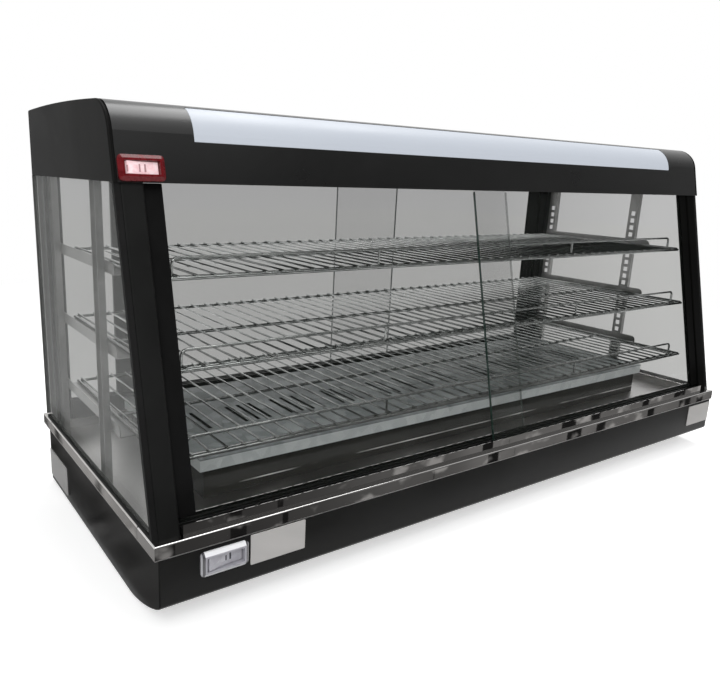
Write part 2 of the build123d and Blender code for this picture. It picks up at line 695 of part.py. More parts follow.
def make_diffuser():
    """Translucent panel: a pad flush in the fascia's window on a wider sheet behind it."""
    pad = roof_skin(FIT_GAP, ROOF_WALL + SHEET, ROOF_BOTTOM) & panel_zone(PANEL_GAP, PANEL_HALF_WIDTH)
    sheet = roof_skin(ROOF_WALL + FIT_GAP, PANEL_THICK, ROOF_BOTTOM)
    sheet &= panel_zone(-PANEL_FLANGE, PANEL_HALF_WIDTH)
    return pad + sheet


def make_roof_cover():
    """Top and rear sheet of the roof."""
    skin = roof_skin(0, ROOF_WALL, ROOF_BOTTOM)
    return skin & block(-HALF_WIDTH, HALF_WIDTH, ROOF_SPLIT_Y + SEAM_GAP, REAR, ROOF_BOTTOM, ROOF_TOP)


def make_ceiling():
    """Ceiling panel between the two top tracks, resting on the rims of the end caps."""
    front = front_y(CEILING_BOTTOM + SHEET, FRONT_TRACK_BACK)
    end = HALF_WIDTH - CAP_THICK - FIT_GAP
    return block(-end, end, front, REAR_TRACK_FRONT, CEILING_BOTTOM, CEILING_BOTTOM + SHEET)


TUBE_Y = ARC_CENTRE_Y - ROOF_ARC_RADIUS + TUBE_BACK
TUBE_Z = ROOF_BOTTOM + TUBE_RISE


def make_tube():
    """Light tube behind the panel."""
    return Pos(0, TUBE_Y, TUBE_Z) * Rot(0, 90, 0) * Cylinder(TUBE_RADIUS, 2 * TUBE_HALF_LENGTH)


def make_tube_holders():
    """Two tube holders that stand on the ceiling panel."""
    holders = []
    inner = TUBE_HALF_LENGTH - HOLDER_SOCKET + FIT_GAP
    socket = Rot(0, 90, 0) * Cylinder(TUBE_RADIUS + FIT_GAP, 2 * HOLDER_SOCKET)
    for side in SIDES.values():
        holder = block(inner, inner + HOLDER_WIDTH, TUBE_Y - HOLDER_DEPTH / 2, TUBE_Y + HOLDER_DEPTH / 2,
                       CEILING_BOTTOM + SHEET, TUBE_Z + HOLDER_DEPTH / 2)
        holders.append(mirrored(holder - Pos(inner, TUBE_Y, TUBE_Z) * socket, side))
    return Compound(children=holders)


# Shelf uprights, rails and shelves

REAR_UPRIGHT_BACK = REAR - REAR_POST_INSET - REAR_POST_DEPTH - REAR_UPRIGHT_GAP
UPRIGHT_FRONTS = (FRONT + FRONT_UPRIGHT_Y, REAR_UPRIGHT_BACK - UPRIGHT_WIDTH)


def make_upright(front, side):
    """Slotted channel, its web inwards, from the deck to the ceiling panel."""
    post = block(UPRIGHT_INNER_X, UPRIGHT_INNER_X + UPRIGHT_DEPTH, front, front + UPRIGHT_WIDTH,
                 DECK_TOP, CEILING_BOTTOM)
    post -= block(UPRIGHT_INNER_X + SHEET, UPRIGHT_INNER_X + UPRIGHT_DEPTH + OVERCUT, front + SHEET,
                  front + UPRIGHT_WIDTH - SHEET, DECK_TOP - OVERCUT, CEILING_BOTTOM + OVERCUT)
    hole = Box(4 * SHEET, HOLE_SIZE, HOLE_SIZE)
    middle = front + UPRIGHT_WIDTH / 2
    post -= [Pos(UPRIGHT_INNER_X, middle, FIRST_HOLE + n * HOLE_PITCH) * hole
             for n in range(HOLES_ABOVE + 1)]
    return mirrored(post, side)


def make_uprights(side):
    """The front and rear upright of one side."""
    return Compound(children=[make_upright(front, side) for front in UPRIGHT_FRONTS])


def make_rail(level, side):
    """Angle that hooks into the uprights and carries one end of a shelf."""
    seat = level - FRAME_HALF
    front = UPRIGHT_FRONTS[0] - RAIL_OVERHANG
    back = UPRIGHT_FRONTS[1] + UPRIGHT_WIDTH
    inner = UPRIGHT_INNER_X - RAIL_FLANGE
    flange = block(inner, UPRIGHT_INNER_X, front, back, seat - SHEET, seat)
    nose = flange.edges().filter_by(Axis.Z).sort_by(lambda e: e.center().X + e.center().Y)[0]
    flange = fillet(nose, RAIL_NOSE_RADIUS)
    web = block(UPRIGHT_INNER_X - SHEET, UPRIGHT_INNER_X, front, back, seat - SHEET, seat + RAIL_RISE)
    corner = web.edges().filter_by(Axis.X).sort_by(lambda e: e.center().Y - e.center().Z)[0]
    rail = flange + fillet(corner, RAIL_NOSE_RADIUS)
    grip = HOLE_SIZE - 2 * HOOK_PLAY
    for start in UPRIGHT_FRONTS:
        middle = start + UPRIGHT_WIDTH / 2
        rail += block(UPRIGHT_INNER_X - SHEET, UPRIGHT_INNER_X + 3 * SHEET, middle - grip / 2,
                      middle + grip / 2, level + HOOK_RISE - grip / 2, level + HOOK_RISE + grip / 2)
    return mirrored(rail, side)


def make_rails(name):
    """The pair of rails under one shelf."""
    return Compound(children=[make_rail(SHELF_LEVELS[name], side) for side in SIDES.values()])


def shelf_front(name):
    """Y of the front wire of a shelf."""
    return front_y(SHELF_LEVELS[name], SHELF_SETBACKS[name])


def make_shelf(name):
    """Wire shelf: a heavy frame and cross wires with fine wires welded across them."""
    level = SHELF_LEVELS[name]
    front = shelf_front(name)
    half = SHELF_HALF_WIDTH - FRAME_HALF
    cross = (front, front + GUARD_BACK, (front + SHELF_BACK) / 2, SHELF_BACK)
    frame = [rod((-SHELF_HALF_WIDTH, y, level), (SHELF_HALF_WIDTH, y, level), FRAME_WIRE) for y in cross]
    frame += [rod((side * half, front, level), (side * half, SHELF_BACK, level), FRAME_WIRE)
              for side in SIDES.values()]
    upper = level + (FRAME_WIRE + GRID_WIRE) / 2 - WELD_DEPTH
    wires = [rod((n * GRID_PITCH, front - GRID_WIRE / 2, upper),
                 (n * GRID_PITCH, SHELF_BACK + GRID_WIRE / 2, upper), GRID_WIRE)
             for n in range(-GRID_SIDE_COUNT, GRID_SIDE_COUNT + 1)]
    return frame[0].fuse(*frame[1:], *wires)


def make_guard(name):
    """Bent wire rail with two posts, welded to the front of a shelf."""
    base = SHELF_LEVELS[name] + FRAME_HALF
    top = SHELF_LEVELS[name] + GUARD_RISE
    y = shelf_front(name) + GUARD_BACK
    end = GUARD_END_X
    path = FilletPolyline((-end, y, base), (-end, y, top), (end, y, top), (end, y, base), radius=GUARD_BEND)
    section = RegularPolygon(GUARD_WIRE / 2, 8, major_radius=False)
    guard = sweep(Plane(path @ 0, x_dir=(1, 0, 0), z_dir=path % 0) * section, path=path)
    posts = [rod((side * GUARD_POST_X, y, base), (side * GUARD_POST_X, y, top), GUARD_WIRE - WELD_DEPTH)
             for side in SIDES.values()]
    return guard.fuse(*posts)


# Heater

def slot_places():
    """X of each slot in the heater cover, with one place left blank between groups."""
    first = SLOT_END_INSET - HEATER_HALF_WIDTH
    places = range(int(-2 * first / SLOT_PITCH) + 1)
    return [first + n * SLOT_PITCH for n in places if n % (SLOTS_PER_GROUP + 1) != 1]


def make_heater_cover():
    """Galvanised lid over the elements, with its lip and groups of slots."""
    cover = block(-HEATER_HALF_WIDTH, HEATER_HALF_WIDTH, HEATER_FRONT_Y, HEATER_BACK_Y,
                  HEATER_TOP - HEATER_LIP, HEATER_TOP)
    cover -= block(-HEATER_HALF_WIDTH + SHEET, HEATER_HALF_WIDTH - SHEET, HEATER_FRONT_Y + SHEET,
                   HEATER_BACK_Y - SHEET, HEATER_TOP - HEATER_LIP - OVERCUT, HEATER_TOP - SHEET)
    slot = Pos(0, HEATER_FRONT_Y + SLOT_ROW_BACK, HEATER_TOP) * Box(SLOT_WIDTH, SLOT_LENGTH, 4 * SHEET)
    return cover - [Pos(x, 0, 0) * slot for x in slot_places()]


BOX_HALF_WIDTH = HEATER_HALF_WIDTH - HEATER_BOX_INSET
BOX_FRONT = HEATER_FRONT_Y + HEATER_BOX_INSET
BOX_BACK = HEATER_BACK_Y - HEATER_BOX_INSET


def make_heater_box():
    """Dark open box on the deck that holds the elements and carries the cover."""
    box = block(-BOX_HALF_WIDTH, BOX_HALF_WIDTH, BOX_FRONT, BOX_BACK, DECK_TOP, HEATER_TOP - SHEET)
    return box - block(-BOX_HALF_WIDTH + SHEET, BOX_HALF_WIDTH - SHEET, BOX_FRONT + SHEET,
                       BOX_BACK - SHEET, DECK_TOP + SHEET, HEATER_TOP)


def element_path(middle):
    """Hairpin centre line of one element, its two legs along X."""
    z = DECK_TOP + ELEMENT_RISE
    near = middle - ELEMENT_BEND
    far = middle + ELEMENT_BEND
    turn = HEATER_HALF_WIDTH - ELEMENT_END_INSET
    out = Line((-turn, near, z), (turn, near, z))
    bend = ThreePointArc((turn, near, z), (turn + ELEMENT_BEND, middle, z), (turn, far, z))
    home = Line((turn, far, z), (-turn, far, z))
    return Wire([out, bend, home])


def element_middles():
    """Y of the middle of each element."""
    centre = (HEATER_FRONT_Y + HEATER_BACK_Y) / 2
    return (centre - ELEMENT_SPREAD, centre + ELEMENT_SPREAD)


def make_elements():
    """Two hairpin heating elements."""
    tubes = []
    for middle in element_middles():
        path = element_path(middle)
        section = Plane(path @ 0, z_dir=path % 0) * Circle(ELEMENT_RADIUS)
        tubes.append(sweep(section, path=path))
    return Compound(children=tubes)


def make_brackets():
    """Sheet brackets on the floor of the heater box, bored for the elements."""
    z = DECK_TOP + ELEMENT_RISE
    half = ELEMENT_BEND + BRACKET_MARGIN
    bore = Rot(0, 90, 0) * Cylinder(ELEMENT_RADIUS + FIT_GAP, 4 * BRACKET_THICK)
    brackets = []
    for side in SIDES.values():
        x = side * (HEATER_HALF_WIDTH - BRACKET_INSET)
        for middle in element_middles():
            bracket = block(x - BRACKET_THICK / 2, x + BRACKET_THICK / 2, middle - half, middle + half,
                            DECK_TOP + SHEET, z + BRACKET_MARGIN)
            bracket -= [Pos(x, middle + leg * ELEMENT_BEND, z) * bore for leg in (-1, 1)]
            brackets.append(bracket)
    return Compound(children=brackets)


# Switches: drawn flat with the panel's outer face at zero and the outside above it

def lamp_switch_plane():
    """Place of the lamp switch on the leaning face of the fascia."""
    z = ROOF_BOTTOM + LAMP_SWITCH_RISE
    return Plane((LAMP_SWITCH_X, front_y(z, -FASCIA_PROUD), z), x_dir=(1, 0, 0), z_dir=(0, -1, SLOPE))


def power_switch_plane():
    """Place of the power switch on the front of the base."""
    z = BASE_BOTTOM + POWER_SWITCH_RISE
    return Plane((POWER_SWITCH_X, FRONT, z), x_dir=(1, 0, 0), z_dir=(0, -1, 0))


def switch_hole(width, height):
    """Cut-out in the panel behind a switch with a bezel of this size."""
    spare = 2 * BEZEL_OVERHANG - 2 * FIT_GAP
    return Box(width - spare, height - spare, 6 * BASE_WALL)


def make_switch_body(width, height):
    """Bevelled bezel on the panel and the open body behind it."""
    bezel = extrude(RectangleRounded(width, height, BEZEL_CORNER), amount=SWITCH_PROUD)
    rim = bezel.faces().sort_by(Axis.Z)[-1]
    bezel = chamfer(rim.edges(), BEZEL_BEVEL_HEIGHT, BEZEL_BEVEL_WIDTH, reference=rim)
    wide = width / 2 - BEZEL_OVERHANG
    high = height / 2 - BEZEL_OVERHANG
    body = bezel + block(-wide, wide, -high, high, -SWITCH_BODY_DEPTH, 0)
    wide -= SWITCH_BODY_WALL
    high -= SWITCH_BODY_WALL
    floor = SWITCH_BODY_WALL - SWITCH_BODY_DEPTH
    return body - block(-wide, wide, -high, high, floor, SWITCH_PROUD + OVERCUT)


def make_rocker(width, height):
    """Paddle with two shallow faces, drawn level and then laid at its off position."""
    reach = width / 2 - BEZEL_OVERHANG - SWITCH_BODY_WALL - ROCKER_PLAY
    half = height / 2 - BEZEL_OVERHANG - SWITCH_BODY_WALL - ROCKER_PLAY
    crown = SWITCH_PROUD - FIT_GAP - reach * tan(radians(ROCKER_TILT))
    profile = make_face(Polyline(
        (-reach, -ROCKER_PIVOT_DEPTH), (reach, -ROCKER_PIVOT_DEPTH), (reach - ROCKER_PLAY, crown),
        (0, crown - ROCKER_VALLEY), (-reach + ROCKER_PLAY, crown), close=True,
    ))
    paddle = Pos(0, half, 0) * extrude(Plane.XZ * profile, amount=2 * half)
    pivot = Axis((0, 0, -ROCKER_PIVOT_DEPTH), (0, 1, 0))
    return paddle.rotate(pivot, ROCKER_TILT)


# Thermostat, gland and terminal block

THERMOSTAT_Z = BASE_BOTTOM + THERMOSTAT_RISE


def make_thermostat():
    """Thermostat on the inside of the rear wall, bored for the shaft."""
    inside = REAR - BASE_WALL
    half = THERMOSTAT_BODY / 2
    body = block(THERMOSTAT_X - half, THERMOSTAT_X + half, inside - THERMOSTAT_BODY_DEPTH, inside,
                 THERMOSTAT_Z - half, THERMOSTAT_Z + half)
    bore = Pos(THERMOSTAT_X, inside, THERMOSTAT_Z) * Rot(90, 0, 0) * Cylinder(
        SHAFT_RADIUS + FIT_GAP, THERMOSTAT_BODY_DEPTH)
    return body - bore


def make_knob():
    """Fluted knob with its shaft and a pointer rib, turning on the rear wall."""
    knob = Cylinder(KNOB_RADIUS, KNOB_HEIGHT, align=(Align.CENTER, Align.CENTER, Align.MIN))
    knob = chamfer(knob.faces().sort_by(Axis.Z)[-1].edges(), 2 * SHEET)
    flute = Cylinder(KNOB_GRIP_RADIUS, 3 * KNOB_HEIGHT)
    knob -= [place * flute for place in PolarLocations(KNOB_RADIUS + KNOB_GRIP_RADIUS / 2, KNOB_GRIPS)]
    knob -= block(-SHEET, SHEET, 0, KNOB_RADIUS, KNOB_HEIGHT - SHEET, KNOB_HEIGHT + OVERCUT)
    length = BASE_WALL + FIT_GAP + THERMOSTAT_BODY_DEPTH / 3
    shaft = Cylinder(SHAFT_RADIUS, length, align=(Align.CENTER, Align.CENTER, Align.MAX))
    place = Plane((THERMOSTAT_X, REAR + FIT_GAP, THERMOSTAT_Z), x_dir=(-1, 0, 0), z_dir=(0, 1, 0))
    return place * (knob + shaft)


def make_gland():
    """Cable gland through the rear wall: a domed collar outside and a threaded neck inside."""
    profile = make_face(Polyline(
        (GLAND_BORE, -GLAND_REACH), (GLAND_NECK, -GLAND_REACH), (GLAND_NECK, 0), (GLAND_RADIUS, 0),
        (GLAND_RADIUS, GLAND_REACH / 2), (GLAND_NECK, GLAND_REACH), (GLAND_BORE, GLAND_REACH), close=True,
    ))
    gland = revolve(Plane.XZ * profile, Axis.Z)
    place = Plane((GLAND_X, REAR, BASE_BOTTOM + GLAND_RISE), x_dir=(-1, 0, 0), z_dir=(0, 1, 0))
    return place * gland


def make_terminal_block():
    """Terminal block on the bottom plate, with a well for each way."""
    floor = BASE_BOTTOM + BASE_WALL + SHEET
    y = REAR - BOTTOM_FLANGE_REAR - TERMINAL_DEPTH
    body = block(TERMINAL_X - TERMINAL_LENGTH / 2, TERMINAL_X + TERMINAL_LENGTH / 2,
                 y - TERMINAL_DEPTH / 2, y + TERMINAL_DEPTH / 2, floor, floor + TERMINAL_HEIGHT)
    pitch = TERMINAL_LENGTH / TERMINAL_WAYS
    well = Cylinder(pitch / 4, TERMINAL_HEIGHT)
    wells = GridLocations(pitch, TERMINAL_DEPTH / 2, TERMINAL_WAYS, 2)
    return body - [Pos(TERMINAL_X, y, floor + TERMINAL_HEIGHT) * place * well for place in wells]


def all_nodes():
    """Every sub-part under its node name."""
    nodes = {
        "base_housing": make_base_housing(),
        "base_bottom_plate": make_bottom_plate(),
        "rubber_feet": make_feet(),
        "deck_plate": make_deck_plate(),
        "front_sill": make_front_sill(),
        "rear_sill": make_rear_sill(),
        "front_track_channel": make_front_channel(),
        "front_bottom_track": make_front_track(),
        "rear_bottom_track": make_rear_track(),
        "front_top_track": make_front_top_track(),
        "rear_top_track": make_rear_top_track(),
        "side_glass_gaskets": make_gaskets(),
        "front_fascia": make_fascia(),
        "light_diffuser": make_diffuser(),
        "roof_cover": make_roof_cover(),
        "ceiling_panel": make_ceiling(),
        "light_tube": make_tube(),
        "light_tube_holders": make_tube_holders(),
        "heater_cover": make_heater_cover(),
        "heater_box": make_heater_box(),
        "heating_elements": make_elements(),
        "element_brackets": make_brackets(),
        "lamp_switch_body": lamp_switch_plane() * make_switch_body(LAMP_SWITCH_WIDTH, LAMP_SWITCH_HEIGHT),
        "lamp_switch_rocker": lamp_switch_plane() * make_rocker(LAMP_SWITCH_WIDTH, LAMP_SWITCH_HEIGHT),
        "power_switch_body": power_switch_plane() * make_switch_body(POWER_SWITCH_WIDTH, POWER_SWITCH_HEIGHT),
        "power_switch_rocker": power_switch_plane() * make_rocker(POWER_SWITCH_WIDTH, POWER_SWITCH_HEIGHT),
        "thermostat_body": make_thermostat(),
        "thermostat_knob": make_knob(),
        "cable_gland": make_gland(),
        "terminal_block": make_terminal_block(),
    }
    for word, side in SIDES.items():
        nodes[f"{word}_side_trim"] = make_side_trim(side)
        nodes[f"{word}_side_glass"] = make_side_glass(side)
        nodes[f"front_{word}_post"] = make_front_post(side)
        nodes[f"rear_{word}_post"] = make_rear_post(side)
        nodes[f"{word}_end_cap"] = make_end_cap(side)
        nodes[f"{word}_uprights"] = make_uprights(side)
        lane = 0 if side > 0 else 1
        opened = 0 if side > 0 else REAR_LEFT_OPENED
        nodes[f"front_{word}_door_glass"] = make_front_door_glass(side, lane)
        nodes[f"front_{word}_door_stile"] = make_front_door_stile(side, lane)
        nodes[f"rear_{word}_door_glass"] = make_rear_door_glass(side, lane, opened)
        nodes[f"rear_{word}_door_pull"] = make_rear_door_pull(side, lane, opened)
    for name in SHELF_LEVELS:
        nodes[f"{name}_shelf_rails"] = make_rails(name)
        nodes[f"{name}_shelf"] = make_shelf(name)
        nodes[f"{name}_shelf_guard"] = make_guard(name)
    return nodes


os.makedirs("parts", exist_ok=True)
for node, shape in all_nodes().items():
    export_step(shape, f"parts/{node}.step")
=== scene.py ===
"""Looks of a heated counter-top pie display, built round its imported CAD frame."""

import logging
import math
from dataclasses import dataclass, field, replace
from enum import Enum
from functools import reduce
from typing import Callable, Iterable, Sequence

import bmesh
import bpy
from mathutils import Matrix, Vector


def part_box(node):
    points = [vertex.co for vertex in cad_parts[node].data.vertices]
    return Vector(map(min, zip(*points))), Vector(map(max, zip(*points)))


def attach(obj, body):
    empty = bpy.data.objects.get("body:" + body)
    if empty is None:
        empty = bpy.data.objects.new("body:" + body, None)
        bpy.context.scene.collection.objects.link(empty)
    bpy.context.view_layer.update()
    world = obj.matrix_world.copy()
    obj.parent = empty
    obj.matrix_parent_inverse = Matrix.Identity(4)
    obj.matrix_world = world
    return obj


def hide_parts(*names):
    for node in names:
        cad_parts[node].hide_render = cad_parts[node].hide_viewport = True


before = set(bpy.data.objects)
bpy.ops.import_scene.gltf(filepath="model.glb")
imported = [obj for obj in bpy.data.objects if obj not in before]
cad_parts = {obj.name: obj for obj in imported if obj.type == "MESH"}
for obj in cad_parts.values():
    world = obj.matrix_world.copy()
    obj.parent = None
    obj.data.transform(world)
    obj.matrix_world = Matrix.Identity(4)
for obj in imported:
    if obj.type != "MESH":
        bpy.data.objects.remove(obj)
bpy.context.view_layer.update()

LOG = logging.getLogger("pie_display")
Triple = tuple[float, float, float]
Colour = Triple
Span = tuple[float, float]
Place = Sequence[float]
Socket = bpy.types.NodeSocket
Node = bpy.types.Node
Piece = bpy.types.Object

MM = 0.001
HALF = 0.5
RIGHT_ANGLE = math.radians(90.0)
IMAGE_WIDTH = 720
IMAGE_HEIGHT = 685
SENSOR_MM = 36.0
FRONT_SLOPE = math.radians(13.0)
WHITE: Colour = (1.0, 1.0, 1.0)


class Body(Enum):
    """Rigid bodies of the frame that new pieces ride on."""

    CABINET = "cabinet"
    TOP_SHELF = "top_shelf_unit"
    MIDDLE_SHELF = "middle_shelf_unit"
    LOWER_SHELF = "lower_shelf_unit"
    FRONT_LEFT_DOOR = "front_left_door"
    FRONT_RIGHT_DOOR = "front_right_door"
    REAR_LEFT_DOOR = "rear_left_door"
    REAR_RIGHT_DOOR = "rear_right_door"


class Ray(Enum):
    """Kinds of ray that should meet the white surroundings."""

    CAMERA = "Is Camera Ray"
    GLOSSY = "Is Glossy Ray"
    TRANSMISSION = "Is Transmission Ray"


class Side(Enum):
    """Sides of the cabinet, as node names call them."""

    LEFT = "left"
    RIGHT = "right"


class Tier(Enum):
    """Tiers of shelves, as node names call them."""

    TOP = "top"
    MIDDLE = "middle"
    LOWER = "lower"


class Axis(Enum):
    """Axes of the object's frame, by the names of their sockets."""

    X = "X"
    Y = "Y"
    Z = "Z"


class Element(Enum):
    """Parts of a mesh that can be selected in edit mode."""

    EDGE = "edges"
    FACE = "faces"


class NodeSheet:
    """Short way to fill one shader node tree."""

    def __init__(self, tree: bpy.types.NodeTree) -> None:
        """Keep the tree that the nodes go into."""
        self.tree = tree

    @classmethod
    def blank(cls, owner: bpy.types.Material | bpy.types.World) -> "NodeSheet":
        """Emptied sheet of a new material or world.

        Args:
            owner: Material or world that holds the nodes.

        Returns:
            The sheet.
        """
        owner.use_nodes = True
        owner.node_tree.nodes.clear()
        return cls(owner.node_tree)

    def add(self, kind: str, settings: dict | None = None, *values: object, **inputs: object) -> Node:
        """Add a node and set or link its inputs.

        Args:
            kind: Node type without its "ShaderNode" prefix.
            settings: Node properties, such as an operation.
            *values: Values or output sockets for the first inputs, in their order.
            **inputs: Values or output sockets by input name, with spaces as underscores.

        Returns:
            The new node.
        """
        node = self.tree.nodes.new(f"ShaderNode{kind}")
        for key, value in (settings or {}).items():
            setattr(node, key, value)
        for socket, value in zip(node.inputs, values):
            self.put(socket, value)
        for key, value in inputs.items():
            self.put(node.inputs[key.replace("_", " ")], value)
        return node

    def put(self, socket: Socket, value: object) -> None:
        """Link an output to a socket, or set the socket's own value.

        Args:
            socket: Input to fill.
            value: Output socket, number, vector or colour.
        """
        if isinstance(value, Socket):
            self.tree.links.new(value, socket)
        elif socket.type == "RGBA" and len(value) == 3:
            socket.default_value = (*value, 1.0)
        else:
            socket.default_value = value

    def math(self, operation: str, *values: object, clamp: bool = False) -> Socket:
        """Result of a Math node fed with sockets or numbers."""
        return self.add("Math", {"operation": operation, "use_clamp": clamp}, *values).outputs[0]

    def both(self, first: Socket, second: Socket) -> Socket:
        """Mask of where two masks meet."""
        return self.math("MULTIPLY", first, second)

    def highest(self, *masks: Socket) -> Socket:
        """Highest of some masks."""
        return reduce(lambda total, mask: self.math("MAXIMUM", total, mask), masks)

    def vector(self, operation: str, *values: object) -> Node:
        """Vector Math node fed with sockets or vectors."""
        return self.add("VectorMath", {"operation": operation}, *values)

    def spread(self, value: Socket, low: float, high: float | Socket, start: float = 0.0, end: float = 1.0,
               soft: bool = False) -> Socket:
        """Map a value from start..end to low..high and hold it there, with gentle ends where it is soft."""
        settings = {"interpolation_type": "SMOOTHSTEP" if soft else "LINEAR"}
        return self.add("MapRange", settings, value, start, end, low, high).outputs["Result"]

    def blend(self, mask: Socket, first: object, second: object) -> Socket:
        """Mix two colours by a mask.

        Args:
            mask: 0 for the first colour, 1 for the second.
            first: Colour or colour socket.
            second: Colour or colour socket.

        Returns:
            The mixed colour.
        """
        node = self.add("Mix", {"data_type": "RGBA"}, Factor=mask)
        colours = [socket for socket in node.inputs if socket.type == "RGBA"]
        self.put(colours[0], first)
        self.put(colours[1], second)
        return next(socket for socket in node.outputs if socket.type == "RGBA")

    def near(self, value: Socket, middle: float, half: float) -> Socket:
        """Mask of the values within half a width of a middle value."""
        return self.math("COMPARE", value, middle, half)

    def place(self) -> Socket:
        """Object coordinates, in metres in the object's frame."""
        return self.add("TexCoord").outputs["Object"]

    def axis(self, axis: Axis) -> Socket:
        """One axis of the object coordinates."""
        return self.add("SeparateXYZ", Vector=self.place()).outputs[axis.value]

    def stretched(self, scale: Triple) -> Socket:
        """Object coordinates scaled by axis."""
        return self.add("Mapping", Vector=self.place(), Scale=scale).outputs["Vector"]

    def noise(self, vector: Socket, **inputs: object) -> Socket:
        """Soft noise from 0 to 1."""
        return self.add("TexNoise", Vector=vector, **inputs).outputs["Fac"]

    def red(self, colour: Socket) -> Socket:
        """Red channel of a colour, as a random value for each cell of a pattern."""
        return self.add("SeparateColor", Color=colour).outputs["Red"]

    def bump(self, height: Socket, strength: float, depth: float) -> Socket:
        """Normal of a surface with bumps of a depth in metres."""
        return self.add("Bump", Strength=strength, Distance=depth, Height=height).outputs["Normal"]

    def principled(self, **inputs: object) -> Socket:
        """Principled shader."""
        return self.add("BsdfPrincipled", **inputs).outputs["BSDF"]

    def emission(self, colour: Colour, strength: float | Socket) -> Socket:
        """Shader of a surface that shines by itself."""
        return self.add("Emission", Color=colour, Strength=strength).outputs["Emission"]

    def mixed(self, mask: Socket, first: Socket, second: Socket) -> Socket:
        """First shader where the mask is 0, second shader where it is 1."""
        return self.add("MixShader", None, mask, first, second).outputs[0]

    def out(self, shader: Socket, kind: str = "OutputMaterial") -> None:
        """Show a shader as the surface."""
        self.put(self.add(kind).inputs["Surface"], shader)


class EffectGroup:
    """Shader node group that more than one finish places."""

    name = ""
    inputs: tuple[str, ...] = ()
    outputs: tuple[str, ...] = ()

    def tree(self) -> bpy.types.NodeTree:
        """Node group of this effect, built the first time it is asked for."""
        found = bpy.data.node_groups.get(self.name)
        return found if found else self.build()

    def build(self) -> bpy.types.NodeTree:
        """Make the group's sockets and fill it.

        Returns:
            The new node group.
        """
        tree = bpy.data.node_groups.new(self.name, "ShaderNodeTree")
        tree.interface.new_socket("Vector", in_out="INPUT", socket_type="NodeSocketVector")
        for key in self.inputs:
            tree.interface.new_socket(key, in_out="INPUT", socket_type="NodeSocketFloat")
        for key in self.outputs:
            tree.interface.new_socket(key, in_out="OUTPUT", socket_type="NodeSocketFloat")
        start = tree.nodes.new("NodeGroupInput")
        end = tree.nodes.new("NodeGroupOutput")
        for key, socket in self.fill(NodeSheet(tree), start).items():
            tree.links.new(socket, end.inputs[key])
        return tree

    def fill(self, sheet: NodeSheet, start: Node) -> dict[str, Socket]:
        """Nodes of the effect, given by each subclass."""
        raise NotImplementedError

    def on(self, sheet: NodeSheet, **values: float) -> Node:
        """Place the effect in a material, on its object coordinates, with its input values by name."""
        return sheet.add("Group", {"node_tree": self.tree()}, Vector=sheet.place(), **values)


class PaintPeel(EffectGroup):
    """Fine orange peel of sprayed or powder paint."""

    name = "paint_peel"
    inputs = ("Scale",)
    outputs = ("Height",)
    finer = 2.7

    def fill(self, sheet: NodeSheet, start: Node) -> dict[str, Socket]:
        """Two sizes of soft dimples.

        Args:
            sheet: Group's node sheet.
            start: Node with the group's inputs.

        Returns:
            Output sockets by name.
        """
        vector, scale = start.outputs["Vector"], start.outputs["Scale"]
        fine = sheet.noise(vector, Scale=scale, Detail=1.0)
        speck = sheet.noise(vector, Scale=sheet.math("MULTIPLY", scale, self.finer), Detail=0.0)
        return {"Height": sheet.math("MULTIPLY", sheet.math("ADD", fine, speck), HALF)}


class WipeMarks(EffectGroup):
    """Cloudy marks left by wiping and handling."""

    name = "wipe_marks"
    inputs = ("Scale", "Contrast")
    outputs = ("Mask",)

    def fill(self, sheet: NodeSheet, start: Node) -> dict[str, Socket]:
        """Warped cloud of wipe marks, with its contrast about the middle.

        Args:
            sheet: Group's node sheet.
            start: Node with the group's inputs.

        Returns:
            Output sockets by name.
        """
        warp = sheet.noise(start.outputs["Vector"], Scale=start.outputs["Scale"], Detail=4.0, Roughness=0.6,
                           Distortion=0.8)
        steep = sheet.math("MULTIPLY", sheet.math("SUBTRACT", warp, HALF), start.outputs["Contrast"])
        return {"Mask": sheet.math("ADD", steep, HALF, clamp=True)}


class ZincSpangle(EffectGroup):
    """Crystals of a galvanised sheet."""

    name = "zinc_spangle"
    inputs = ("Scale",)
    outputs = ("Mask", "Height")
    crystal_share = 0.45
    levels = (0.4, 1.05)

    def fill(self, sheet: NodeSheet, start: Node) -> dict[str, Socket]:
        """Flat crystals of random shade with a cloudy bloom over them.

        Args:
            sheet: Group's node sheet.
            start: Node with the group's inputs.

        Returns:
            Output sockets by name.
        """
        vector, scale = start.outputs["Vector"], start.outputs["Scale"]
        cells = sheet.add("TexVoronoi", {"feature": "F1"}, Vector=vector, Scale=scale, Randomness=1.0)
        bloom = sheet.noise(vector, Scale=9.0, Detail=5.0, Roughness=0.65)
        shade = sheet.math("MULTIPLY_ADD", sheet.red(cells.outputs["Color"]), self.crystal_share, bloom)
        return {"Mask": sheet.spread(shade, 0.0, 1.0, *self.levels), "Height": cells.outputs["Distance"]}


class DrawnStreaks(EffectGroup):
    """Long faint streaks of rolled and polished sheet."""

    name = "drawn_streaks"
    inputs = ("Scale",)
    outputs = ("Mask",)
    stretch = (1.0, 60.0, 60.0)

    def fill(self, sheet: NodeSheet, start: Node) -> dict[str, Socket]:
        """Streaks along X over a slow cloud.

        Args:
            sheet: Group's node sheet.
            start: Node with the group's inputs.

        Returns:
            Output sockets by name.
        """
        vector, scale = start.outputs["Vector"], start.outputs["Scale"]
        longer = sheet.add("Mapping", Vector=vector, Scale=self.stretch).outputs["Vector"]
        lines = sheet.noise(longer, Scale=scale, Detail=3.0)
        cloud = sheet.math("MULTIPLY", sheet.noise(vector, Scale=scale, Detail=2.0), HALF)
        return {"Mask": sheet.math("MULTIPLY_ADD", lines, HALF, cloud, clamp=True)}


PEEL = PaintPeel()
WIPES = WipeMarks()
SPANGLE = ZincSpangle()
STREAKS = DrawnStreaks()
MADE: dict[str, bpy.types.Material] = {}


